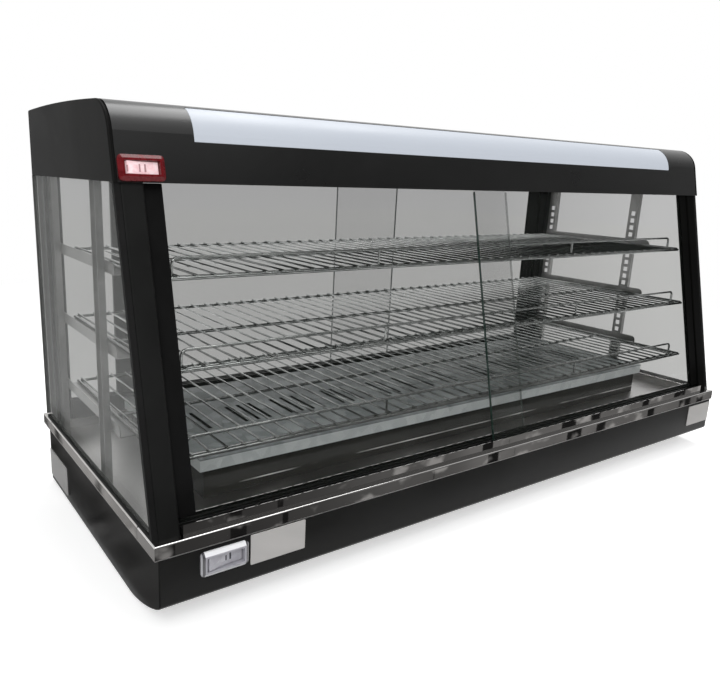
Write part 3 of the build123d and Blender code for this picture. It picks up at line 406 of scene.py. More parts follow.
@dataclass(frozen=True)
class Patch:
    """Other colour inside or outside a box, given in mm as a middle and a half width along X and Z."""

    colour: Colour
    x: Span | None = None
    z: Span | None = None
    outside: bool = False

    def over(self, sheet: NodeSheet, colour: Socket) -> Socket:
        """Lay the patch over a colour.

        Args:
            sheet: Material's node sheet.
            colour: Colour below the patch.

        Returns:
            The patched colour.
        """
        spans = [(axis, span) for axis, span in ((Axis.X, self.x), (Axis.Z, self.z)) if span]
        masks = [sheet.near(sheet.axis(axis), middle * MM, half * MM) for axis, (middle, half) in spans]
        shown = sheet.both(*masks) if len(masks) > 1 else masks[0]
        pair = (self.colour, colour) if self.outside else (colour, self.colour)
        return sheet.blend(shown, *pair)


def strokes(ink: Colour, *marks: tuple[float, float, float, float]) -> tuple[Patch, ...]:
    """Printed strokes, each given in mm as middle X, middle Z, half width and half height."""
    return tuple(Patch(ink, x=(x, wide), z=(z, high)) for x, z, wide, high in marks)


@dataclass(frozen=True)
class Finish:
    """A named surface finish of two shades that can make its own material."""

    name: str
    dark: Colour
    pale: Colour
    patches: tuple[Patch, ...] = field(default=(), kw_only=True)

    def material(self) -> bpy.types.Material:
        """Material of this finish, made the first time it is asked for.

        Returns:
            The material.
        """
        if self.name not in MADE:
            MADE[self.name] = bpy.data.materials.new(self.name)
            sheet = NodeSheet.blank(MADE[self.name])
            sheet.out(self.shade(sheet))
        return MADE[self.name]

    def shade(self, sheet: NodeSheet) -> Socket:
        """Shader of the finish, given by each subclass."""
        raise NotImplementedError

    def tint(self, sheet: NodeSheet, mask: Socket) -> Socket:
        """Colour between the two shades, by a mask, with the patches over it."""
        colour = sheet.blend(mask, self.dark, self.pale)
        return reduce(lambda below, patch: patch.over(sheet, below), self.patches, colour)


@dataclass(frozen=True)
class PaintFinish(Finish):
    """Satin paint or moulded plastic with peel and wipe marks."""

    smooth: float
    rough: float
    specular: float
    peel_scale: float = 700.0
    peel_strength: float = 0.12
    peel_depth: float = 0.1 * MM

    def shade(self, sheet: NodeSheet) -> Socket:
        """Paint that varies a little in shade and gloss.

        Args:
            sheet: Material's node sheet.

        Returns:
            The shader.
        """
        mask = WIPES.on(sheet, Scale=7.0, Contrast=2.2).outputs["Mask"]
        peel = PEEL.on(sheet, Scale=self.peel_scale).outputs["Height"]
        return sheet.principled(
            Base_Color=self.tint(sheet, mask),
            Roughness=sheet.spread(mask, self.smooth, self.rough),
            Specular_IOR_Level=self.specular,
            Normal=sheet.bump(peel, self.peel_strength, self.peel_depth),
        )


@dataclass(frozen=True)
class HeaterBoxFinish(PaintFinish):
    """Dark coat with a painted highlight along a line on its front and painted shade inside the box."""

    shade_black: Colour = (0.002, 0.002, 0.002)
    highlight_colour: Colour = (0.85, 0.85, 0.82)
    line: Span = (111.0 * MM, 0.9 * MM)
    highlight_stretch: Triple = (9.0, 1.0, 30.0)
    highlight_edge: Span = (0.42, 0.62)
    inside: Span = (0.0, 0.0)

    def tint(self, sheet: NodeSheet, mask: Socket) -> Socket:
        """Coat colour with the painted highlight line and the painted shade inside.

        Args:
            sheet: Material's node sheet.
            mask: 0 for the dark shade, 1 for the pale one.

        Returns:
            The colour.
        """
        # Painted highlight: a broken pale line on the front, standing in for light caught along the box's
        # foot.
        highlight_noise = sheet.noise(sheet.stretched(self.highlight_stretch), Scale=1.0, Detail=3.0)
        shown = sheet.spread(highlight_noise, 0.0, 1.0, *self.highlight_edge)
        streak = sheet.both(sheet.near(sheet.axis(Axis.Z), *self.line), shown)
        coat = sheet.blend(streak, super().tint(sheet, mask), self.highlight_colour)
        # Painted shade: the inside of the box, under the cover, is painted near black.
        return sheet.blend(sheet.near(sheet.axis(Axis.Y), *self.inside), coat, self.shade_black)


@dataclass(frozen=True)
class PolishedSteelFinish(Finish):
    """Mirror polished stainless sheet with drawn streaks and wipe marks."""

    smooth: float = 0.05
    rough: float = 0.14

    def shade(self, sheet: NodeSheet) -> Socket:
        """Bright metal that is a little dulled where it was wiped.

        Args:
            sheet: Material's node sheet.

        Returns:
            The shader.
        """
        streak = STREAKS.on(sheet, Scale=3.0).outputs["Mask"]
        wipe = WIPES.on(sheet, Scale=9.0, Contrast=3.0).outputs["Mask"]
        roughness = self.gloss(sheet, wipe)
        return sheet.principled(Base_Color=self.tint(sheet, streak), Metallic=1.0, Roughness=roughness)

    def gloss(self, sheet: NodeSheet, wipe: Socket) -> Socket:
        """Roughness, a little higher where it was wiped."""
        return sheet.spread(wipe, self.smooth, self.rough)


@dataclass(frozen=True)
class TrimFinish(PolishedSteelFinish):
    """Polished strip whose inner face was left satin."""

    inside: float = 588.4 * MM
    satin: float = 0.55

    def gloss(self, sheet: NodeSheet, wipe: Socket) -> Socket:
        """Polish outside and satin inside."""
        inner = sheet.spread(sheet.near(sheet.axis(Axis.X), 0.0, self.inside), 0.0, self.satin)
        return sheet.highest(inner, super().gloss(sheet, wipe))


@dataclass(frozen=True)
class GalvanisedFinish(Finish):
    """Zinc sheet with painted light on its flanges, painted shade on its top and painted shade in its slots.
    """

    lit_dull: Colour
    lit_fresh: Colour
    top: float = 0.0
    top_skin: float = 1.5 * MM
    slot_depth: Span = (0.8 * MM, 0.7 * MM)
    reach: Triple = (0.0, 0.0, 0.0)
    shade_black: Colour = (0.004, 0.004, 0.004)
    rear_stain_and_shade: float = 0.5
    metal: Span = (0.1, 0.4)
    gloss: Span = (0.5, 0.32)
    crystal_bump: float = 0.1
    crystal_depth: float = 0.1 * MM

    def shade(self, sheet: NodeSheet) -> Socket:
        """Cloudy zinc with crystals that differ in shade and gloss.

        Args:
            sheet: Material's node sheet.

        Returns:
            The shader.
        """
        spangle = SPANGLE.on(sheet, Scale=55.0)
        mask = spangle.outputs["Mask"]
        across, back, up = (sheet.axis(axis) for axis in Axis)
        half, middle, depth = self.reach
        # The top face is painted darker than the flanges as painted shade; the flanges' lit colours are
        # painted light.
        top_face = sheet.near(up, self.top, self.top_skin)
        # Darker towards the rear: painted shade under the shelves together with heat stain.
        rear_stain_and_shade = sheet.spread(back, 0.0, self.rear_stain_and_shade, middle - depth, middle + depth)
        shaded_top = sheet.blend(rear_stain_and_shade, self.tint(sheet, mask), self.shade_black)
        zinc = sheet.blend(top_face, sheet.blend(mask, self.lit_dull, self.lit_fresh), shaded_top)
        amid = sheet.both(sheet.near(across, 0.0, half), sheet.near(back, middle, depth))
        # Painted shade: the cut faces of the slots are painted black.
        cut = sheet.both(amid, sheet.near(up, self.top - self.slot_depth[0], self.slot_depth[1]))
        return sheet.principled(
            Base_Color=sheet.blend(cut, zinc, self.shade_black),
            Metallic=sheet.spread(top_face, *self.metal),
            Roughness=sheet.spread(mask, *self.gloss),
            Normal=sheet.bump(spangle.outputs["Height"], self.crystal_bump, self.crystal_depth),
        )


@dataclass(frozen=True)
class WireFinish(Finish):
    """Bright plated wire or drawn steel."""

    smooth: float
    rough: float

    def shade(self, sheet: NodeSheet) -> Socket:
        """Plating that is cloudy along the wire."""
        mask = WIPES.on(sheet, Scale=30.0, Contrast=2.5).outputs["Mask"]
        return sheet.principled(
            Base_Color=self.tint(sheet, mask),
            Metallic=1.0,
            Roughness=sheet.spread(mask, self.smooth, self.rough),
        )


@dataclass(frozen=True)
class GlassFinish(Finish):
    """Pane that darkens what is behind it a little and mirrors the room."""

    cover: float
    mirror: float = 1.0
    wiped: float = 0.03

    def shade(self, sheet: NodeSheet) -> Socket:
        """Clear film with faint wipe marks."""
        mask = WIPES.on(sheet, Scale=5.0, Contrast=2.0).outputs["Mask"]
        return sheet.principled(
            Base_Color=self.tint(sheet, mask),
            Roughness=sheet.spread(mask, 0.0, self.wiped),
            IOR=1.5,
            Specular_IOR_Level=self.mirror,
            Alpha=self.cover,
        )


@dataclass(frozen=True)
class LensFinish(Finish):
    """Glossy moulded cover or lens, with a clear coat and a little light from behind."""

    rough: float
    coat: float = 0.6
    glow: Colour = (0.0, 0.0, 0.0)
    glow_strength: float = 0.0
    cloud_scale: float = 90.0
    cloud_rough: float = 1.8
    specular: float = 0.5

    def shade(self, sheet: NodeSheet) -> Socket:
        """Moulding with cloudy depth under its gloss."""
        mask = WIPES.on(sheet, Scale=self.cloud_scale, Contrast=2.5).outputs["Mask"]
        return sheet.principled(
            Base_Color=self.tint(sheet, mask),
            Roughness=sheet.spread(mask, self.rough, self.rough * self.cloud_rough),
            Specular_IOR_Level=self.specular,
            Coat_Weight=self.coat,
            Coat_Roughness=0.05,
            Emission_Color=self.glow,
            Emission_Strength=self.glow_strength,
        )


LAMP_MARKS = strokes((0.16, 0.02, 0.03), (-569.5, 517.5, 0.9, 4.2), (-563.0, 517.5, 1.1, 4.2),
                     (-584.0, 517.0, 0.7, 3.4))
POWER_MARKS = strokes((0.03, 0.03, 0.04), (-513.6, 78.2, 0.9, 3.4), (-507.8, 79.4, 1.25, 4.8))
# Rim of the clear power switch cover: the pale bands above and below the pad are painted highlights, the dark
# band at each end is painted shade in the gap between pad and rim, and the grey beyond it is the rim's own
# grey.
COVER_RIM_HIGHLIGHTS_AND_SHADE = (
    Patch((0.78, 0.78, 0.80), z=(77.5, 11.3), outside=True),
    Patch((0.06, 0.06, 0.066), x=(-515.0, 26.6), outside=True),
    Patch((0.36, 0.36, 0.38), x=(-515.0, 29.4), outside=True),
)
# Painted sheen: a pale grey patch on the black seal's inner lip.
PANE_LIP_PAINTED_SHEEN = Patch((0.2, 0.2, 0.195), x=(592.3, 0.9), z=(118.0, 3.5))

SATIN_BLACK = PaintFinish("satin_black_paint", (0.0085, 0.0085, 0.0082), (0.0125, 0.0125, 0.012),
                          smooth=0.42, rough=0.52, specular=0.02)
BASE_BLACK = replace(SATIN_BLACK, name="base_black_paint", smooth=0.3, rough=0.38, specular=0.1)
GLOSS_BLACK = PaintFinish("gloss_black_paint", (0.0045, 0.0046, 0.0045), (0.007, 0.0071, 0.007),
                          smooth=0.26, rough=0.32, specular=0.5)
BLACK_PROFILE = PaintFinish("black_anodised_profile", (0.005, 0.005, 0.005), (0.009, 0.009, 0.009),
                            smooth=0.3, rough=0.4, specular=0.07)
# Lit and shaded copies of the black profile: the left post is painted paler as painted light, the right post
# and its door stile darker as painted shade.
LEFT_POST_PAINTED_LIGHT = replace(BLACK_PROFILE, name="left_post_profile", dark=(0.009, 0.0092, 0.009),
                    pale=(0.014, 0.0143, 0.014))
RIGHT_POST_PAINTED_SHADE = replace(BLACK_PROFILE, name="right_post_profile", dark=(0.0015, 0.0015, 0.0014),
                     pale=(0.003, 0.003, 0.0028), specular=0.02)
BLACK_RUBBER = PaintFinish("seal_rubber", (0.006, 0.006, 0.006), (0.012, 0.012, 0.012),
                           smooth=0.6, rough=0.75, specular=0.1, peel_scale=420.0, peel_strength=0.3)
PANE_SEAL = replace(BLACK_RUBBER, name="pane_seal", patches=(PANE_LIP_PAINTED_SHEEN,))
SEAL_BAND = PaintFinish("seal_band", (0.08, 0.081, 0.079), (0.11, 0.111, 0.108),
                        smooth=0.5, rough=0.65, specular=0.1)
BLACK_PLASTIC = PaintFinish("moulded_black_plastic", (0.008, 0.008, 0.008), (0.014, 0.014, 0.014),
                            smooth=0.42, rough=0.55, specular=0.3, peel_scale=1200.0)
HEATER_BLACK = HeaterBoxFinish("heater_black", (0.018, 0.017, 0.015), (0.034, 0.032, 0.028),
                               smooth=0.34, rough=0.44, specular=0.3, peel_strength=0.02)
BARE_PLATE = PaintFinish("bare_plate", (0.42, 0.41, 0.40), (0.49, 0.475, 0.465),
                         smooth=0.4, rough=0.5, specular=0.2, peel_scale=300.0, peel_strength=0.05)
# Painted light: a paler copy of the bare plate finish for the plate on the lit left side.
SIDE_PLATE_PAINTED_LIGHT = replace(BARE_PLATE, name="bare_side_plate", dark=(0.45, 0.445, 0.44), pale=(0.5, 0.495, 0.49))
POLISHED_STEEL = PolishedSteelFinish("bright_sheet", (0.30, 0.29, 0.28), (0.58, 0.57, 0.55))
TRIM_STEEL = TrimFinish("trim_strip", POLISHED_STEEL.dark, POLISHED_STEEL.pale)
DECK_STEEL = PolishedSteelFinish("deck_sheet", (0.50, 0.49, 0.48), (0.66, 0.65, 0.64),
                                 smooth=0.28, rough=0.4)
SILL_STEEL = PolishedSteelFinish("sill_steel", (0.50, 0.49, 0.48), (0.64, 0.63, 0.62),
                                 smooth=0.03, rough=0.06)
# The flange colours are painted light, brighter than the top's shades.
GALVANISED = GalvanisedFinish("galvanised_sheet", (0.20, 0.226, 0.226), (0.38, 0.42, 0.42),
                              lit_dull=(0.66, 0.71, 0.71), lit_fresh=(0.86, 0.91, 0.90))
SUPPORT_STEEL = WireFinish("shelf_support_steel", (0.25, 0.25, 0.245), (0.38, 0.38, 0.37),
                           smooth=0.3, rough=0.44)
CHROME_WIRE = WireFinish("plated_wire", (0.18, 0.19, 0.185), (0.36, 0.37, 0.36), smooth=0.06, rough=0.14)
ELEMENT_STEEL = WireFinish("heated_tube", (0.025, 0.023, 0.021), (0.06, 0.055, 0.05), smooth=0.35, rough=0.5)
FRONT_GLASS = GlassFinish("front_pane", (0.03, 0.036, 0.031), (0.05, 0.057, 0.05), cover=0.08)
REAR_GLASS = replace(FRONT_GLASS, name="rear_pane", cover=0.05)
# Painted reflection: the left pane's pale grey colour lays a veil over what is behind it, standing in for the
# bright room it mirrors.
LEFT_GLASS_PAINTED_REFLECTION = GlassFinish("left_pane", (0.27, 0.28, 0.27), (0.33, 0.34, 0.33), cover=0.2, mirror=0.1)
RIGHT_GLASS = GlassFinish("right_pane", (0.05, 0.056, 0.051), (0.08, 0.087, 0.08), cover=0.05, mirror=0.3)
INNER_EDGE = GlassFinish("inner_glass_edge", (0.10, 0.13, 0.115), (0.14, 0.17, 0.155), cover=0.3)
FRONT_EDGE = LensFinish("front_glass_edge", (0.012, 0.024, 0.019), (0.026, 0.048, 0.039),
                        rough=0.15, coat=0.3)
REAR_EDGE = LensFinish("rear_glass_edge", (0.05, 0.065, 0.058), (0.09, 0.11, 0.1), rough=0.15, coat=0.3)
DIFFUSER = LensFinish("light_diffuser", (0.11, 0.12, 0.147), (0.12, 0.13, 0.153), rough=0.28, coat=0.0,
                      glow=(0.86, 0.92, 1.0), glow_strength=0.49, cloud_scale=3.0)
TUBE_WHITE = LensFinish("lamp_tube", (0.82, 0.83, 0.83), (0.88, 0.88, 0.88), rough=0.25)
RED_COVER = LensFinish("red_switch_cover", (0.09, 0.002, 0.004), (0.16, 0.003, 0.007), rough=0.2, coat=0.08,
                       specular=0.2)
RED_LENS = LensFinish("red_switch_lens", (0.62, 0.30, 0.33), (0.85, 0.70, 0.72), rough=0.1, coat=0.6,
                      glow=(1.0, 0.78, 0.8), glow_strength=0.32, patches=LAMP_MARKS)
PALE_LENS = LensFinish("pale_switch_lens", (0.34, 0.335, 0.37), (0.42, 0.415, 0.45), rough=0.18, coat=0.2,
                       patches=POWER_MARKS)
CLEAR_COVER = replace(PALE_LENS, name="clear_switch_cover", rough=0.12, coat=0.4,
                      patches=POWER_MARKS + COVER_RIM_HIGHLIGHTS_AND_SHADE)


class Bench:
    """The operators that shape a new piece, with selection kept tidy."""

    parallel = 0.99
    smooth_angle = math.radians(40.0)
    end_inset = 0.12
    end_dome = 0.06

    @staticmethod
    def clear() -> None:
        """Deselect everything in object mode."""
        if bpy.context.object and bpy.context.object.mode != "OBJECT":
            bpy.ops.object.mode_set(mode="OBJECT")
        bpy.ops.object.select_all(action="DESELECT")

    @classmethod
    def pick(cls, *pieces: Piece) -> None:
        """Select only some pieces and make the first of them active.

        Args:
            *pieces: Pieces to select.
        """
        cls.clear()
        for piece in pieces:
            piece.select_set(True)
        bpy.context.view_layer.objects.active = pieces[0]

    @classmethod
    def choose(cls, piece: Piece, kind: Element, test: Callable[..., bool]) -> None:
        """Open a piece in edit mode with the parts that pass a test selected.

        Args:
            piece: Piece to open.
            kind: Edges or faces.
            test: Says of an edge or a face whether it is selected.
        """
        cls.pick(piece)
        bpy.ops.object.mode_set(mode="EDIT")
        bpy.ops.mesh.select_all(action="DESELECT")
        bpy.ops.mesh.select_mode(type=kind.name)
        edit = bmesh.from_edit_mesh(piece.data)
        for part in getattr(edit, kind.value):
            part.select_set(test(part))
        bmesh.update_edit_mesh(piece.data)

    @staticmethod
    def start(name: str) -> Piece:
        """Name the object that was just made, and its mesh."""
        bpy.context.object.name = bpy.context.object.data.name = name
        return bpy.context.object

    @classmethod
    def settle(cls, piece: Piece) -> None:
        """Put a piece's place, turn and size into its mesh."""
        cls.pick(piece)
        bpy.ops.object.transform_apply(location=True, rotation=True, scale=True)

    @classmethod
    def smooth(cls, piece: Piece) -> None:
        """Shade a piece smooth below an edge angle."""
        cls.pick(piece)
        bpy.ops.object.shade_smooth_by_angle(angle=cls.smooth_angle)

    @classmethod
    def slab(cls, name: str, low: Place, high: Place) -> Piece:
        """Box between two corners, in metres, with its place in its mesh.

        Args:
            name: Piece name.
            low: Lowest corner.
            high: Highest corner.

        Returns:
            The new object.
        """
        cls.clear()
        low, high = Vector(low), Vector(high)
        bpy.ops.mesh.primitive_cube_add(size=1.0, location=(low + high) / 2)
        piece = cls.start(name)
        piece.scale = high - low
        cls.settle(piece)
        return piece

    @classmethod
    def bevel_edges(cls, piece: Piece, along: Vector | None, width: float, steps: int) -> None:
        """Round the edges of a piece in edit mode.

        Args:
            piece: Piece to shape.
            along: Direction of the edges to round, or None for all.
            width: Radius in metres.
            steps: Facets of the round.
        """
        def runs_along(edge: bmesh.types.BMEdge) -> bool:
            """Whether an edge has the asked direction."""
            run = (edge.verts[1].co - edge.verts[0].co).normalized()
            return along is None or abs(run.dot(along)) > cls.parallel

        cls.choose(piece, Element.EDGE, runs_along)
        bpy.ops.mesh.bevel(offset=width, offset_type="OFFSET", segments=steps, affect="EDGES")
        bpy.ops.object.mode_set(mode="OBJECT")

    @classmethod
    def rod(cls, name: str, start: Place, end: Place, across: float, sides: int) -> Piece:
        """Round straight wire with softened ends.

        Args:
            name: Piece name.
            start: Middle of one end.
            end: Middle of the other end.
            across: Diameter.
            sides: Facets round it.

        Returns:
            The new object.
        """
        cls.clear()
        start, end = Vector(start), Vector(end)
        run = end - start
        bpy.ops.mesh.primitive_cylinder_add(
            vertices=sides, radius=across / 2, depth=run.length, end_fill_type="NGON",
            location=(start + end) / 2, rotation=run.to_track_quat("Z", "Y").to_euler(),
        )
        piece = cls.start(name)
        cls.settle(piece)
        cls.choose(piece, Element.FACE, lambda face: len(face.verts) == sides)
        bpy.ops.mesh.inset(thickness=across * cls.end_inset, depth=across * cls.end_dome)
        bpy.ops.object.mode_set(mode="OBJECT")
        return piece

    @staticmethod
    def copies(piece: Piece, shifts: Iterable[Vector]) -> list[Piece]:
        """Copy a finished piece, each copy with its own mesh.

        Args:
            piece: Piece to copy.
            shifts: Move of each copy from the piece.

        Returns:
            The copies.
        """
        made = []
        for shift in shifts:
            twin = piece.copy()
            twin.data = piece.data.copy()
            twin.data.transform(Matrix.Translation(shift))
            bpy.context.scene.collection.objects.link(twin)
            made.append(twin)
        return made

    @classmethod
    def join(cls, name: str, pieces: Sequence[Piece]) -> Piece:
        """Join pieces into one object.

        Args:
            name: Name of the result.
            pieces: Objects to join.

        Returns:
            The joined object.
        """
        cls.pick(*pieces)
        bpy.ops.object.join()
        return cls.start(name)


def dress(finish: Finish, *pieces: Piece | str) -> None:
    """Give a finish to CAD nodes or new pieces.

    Args:
        finish: Finish to put on.
        *pieces: Objects, or names of CAD nodes.
    """
    for piece in pieces:
        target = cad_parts[piece] if isinstance(piece, str) else piece
        target.data.materials.clear()
        target.data.materials.append(finish.material())
        LOG.info("%s: %s", target.name, finish.name)


def seat(piece: Piece, body: Body, slot: str, *replaced: str) -> None:
    """Make a new piece ride on a body and hide the CAD nodes that it stands for.

    Args:
        piece: Finished piece.
        body: Body that carries it.
        slot: Not used.
        *replaced: CAD nodes that the piece stands for.
    """
    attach(piece, body.value)
    if replaced:
        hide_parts(*replaced)
    LOG.info("%s rides on %s", piece.name, body.value)


@dataclass
class CabinetShell:
    """Base, polished rim and roof, with the bare plates on the base."""

    plate_thick: float = 1.2 * MM
    plate_corner: float = 1.2 * MM
    corner_steps: int = 5
    plate_wide: float = 78.0 * MM
    plate_high: float = 39.5 * MM
    left_plate_xz: Span = (-480.0 * MM, 57.5 * MM)
    right_plate_xz: Span = (515.0 * MM, 54.0 * MM)
    side_plate_y: Span = (135.0 * MM, 233.0 * MM)
    side_plate_z: Span = (13.0 * MM, 59.0 * MM)

    def build(self) -> None:
        """Dress the shell's nodes and add its plates."""
        dress(SATIN_BLACK, "base_bottom_plate", "left_end_cap", "right_end_cap", "roof_cover")
        dress(BASE_BLACK, "base_housing")
        dress(GLOSS_BLACK, "front_fascia")
        dress(BLACK_RUBBER, "rubber_feet")
        dress(PANE_SEAL, "side_glass_gaskets")
        dress(DECK_STEEL, "deck_plate")
        dress(POLISHED_STEEL, "rear_sill")
        dress(TRIM_STEEL, "left_side_trim", "right_side_trim")
        dress(SILL_STEEL, "front_sill", "front_track_channel")
        dress(BLACK_PROFILE, "ceiling_panel")
        side, front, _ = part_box("base_housing")[0]
        for name, (x, z) in (("left_front_plate", self.left_plate_xz),
                             ("right_front_plate", self.right_plate_xz)):
            low = (x, front - self.plate_thick, z)
            high = (x + self.plate_wide, front, z + self.plate_high)
            self.plate(name, low, high, Vector((0.0, 1.0, 0.0)), BARE_PLATE)
        low = (side - self.plate_thick, self.side_plate_y[0], self.side_plate_z[0])
        high = (side, self.side_plate_y[1], self.side_plate_z[1])
        self.plate("left_side_plate", low, high, Vector((1.0, 0.0, 0.0)), SIDE_PLATE_PAINTED_LIGHT)

    def plate(self, name: str, low: Place, high: Place, across: Vector, finish: Finish) -> None:
        """Thin bare plate with round corners.

        Args:
            name: Piece name.
            low: Lowest corner.
            high: Highest corner.
            across: Direction through its thickness.
            finish: Finish of the plate.
        """
        piece = Bench.slab(name, low, high)
        Bench.bevel_edges(piece, across, self.plate_corner, self.corner_steps)
        Bench.smooth(piece)
        dress(finish, piece)
        seat(piece, Body.CABINET, "polished_steel")


@dataclass
class Glazing:
    """Side panes with their rear seals, posts, tracks and sliding doors with their ground edges."""

    pane: float = 4.0 * MM
    ground: float = 0.4 * MM
    inset: float = 6.0 * MM
    band_wide: float = 34.0 * MM
    band_thick: float = 0.6 * MM
    band_gap: float = 0.3 * MM
    band_proud: float = 2.8 * MM
    soft_edge: float = 0.1 * MM
    soft_steps: int = 2

    def build(self) -> None:
        """Dress the panes and the black profiles, and add the seals and the ground edges."""
        for side in Side:
            dress(BLACK_PROFILE, f"rear_{side.value}_post", f"rear_{side.value}_door_pull")
            dress(FRONT_GLASS, f"front_{side.value}_door_glass")
            dress(REAR_GLASS, f"rear_{side.value}_door_glass")
        dress(LEFT_POST_PAINTED_LIGHT, "front_left_post")
        dress(RIGHT_POST_PAINTED_SHADE, "front_right_post", "front_right_door_stile")
        dress(LEFT_GLASS_PAINTED_REFLECTION, "left_side_glass")
        dress(RIGHT_GLASS, "right_side_glass")
        dress(BLACK_PROFILE, "front_left_door_stile", "front_bottom_track", "rear_bottom_track",
              "front_top_track", "rear_top_track")
        for side in Side:
            self.rear_band(side)
        self.free_edge(Body.FRONT_LEFT_DOOR, 1, INNER_EDGE)
        self.free_edge(Body.FRONT_RIGHT_DOOR, 0, FRONT_EDGE)
        self.free_edge(Body.REAR_LEFT_DOOR, 1, REAR_EDGE)
        self.free_edge(Body.REAR_RIGHT_DOOR, 0, REAR_EDGE)

    def rear_band(self, side: Side) -> None:
        """Seal round the rear edge of a side pane, towards the post behind it.

        Args:
            side: Side of the cabinet.
        """
        low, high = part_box(f"{side.value}_side_glass")
        foot, rear = low.z + self.inset, high.y + self.band_gap
        if side is Side.LEFT:
            inner = high.x + self.band_gap
            low.x -= self.band_proud
        else:
            inner = low.x - self.band_gap - self.band_thick
            high.x += self.band_proud
        flat = Bench.slab("band_flat", (inner, high.y - self.band_wide, foot),
                          (inner + self.band_thick, high.y, high.z))
        turned = Bench.slab("band_turned", (low.x, rear, foot), (high.x, rear + self.band_thick, high.z))
        for leg in (flat, turned):
            Bench.bevel_edges(leg, None, self.soft_edge, self.soft_steps)
        piece = Bench.join(f"{side.value}_pane_rear_band", [flat, turned])
        dress(SEAL_BAND, piece)
        seat(piece, Body.CABINET, "black_rubber")

    def free_edge(self, body: Body, corner: int, finish: Finish) -> None:
        """Ground edge along the upright side of a door that carries no profile.

        Args:
            body: Door that carries it.
            corner: 0 for the edge at the pane's low X, 1 for the edge at its high X.
            finish: Finish of the edge.
        """
        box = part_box(f"{body.value}_glass")
        lean = FRONT_SLOPE if body.value.startswith("front") else 0.0
        middle = (box[0] + box[1]) / 2
        outward = self.ground if corner else -self.ground
        middle.x = box[corner].x + outward / 2
        half_height = (box[1].z - box[0].z) / math.cos(lean) / 2 - self.inset
        half = Vector((self.ground / 2, self.pane / 2, half_height))
        piece = Bench.slab(f"{body.value}_ground_edge", -half, half)
        piece.rotation_euler = (-lean, 0.0, 0.0)
        piece.location = middle
        Bench.settle(piece)
        Bench.bevel_edges(piece, None, self.soft_edge, self.soft_steps)
        dress(finish, piece)
        seat(piece, body, "clear_glass")


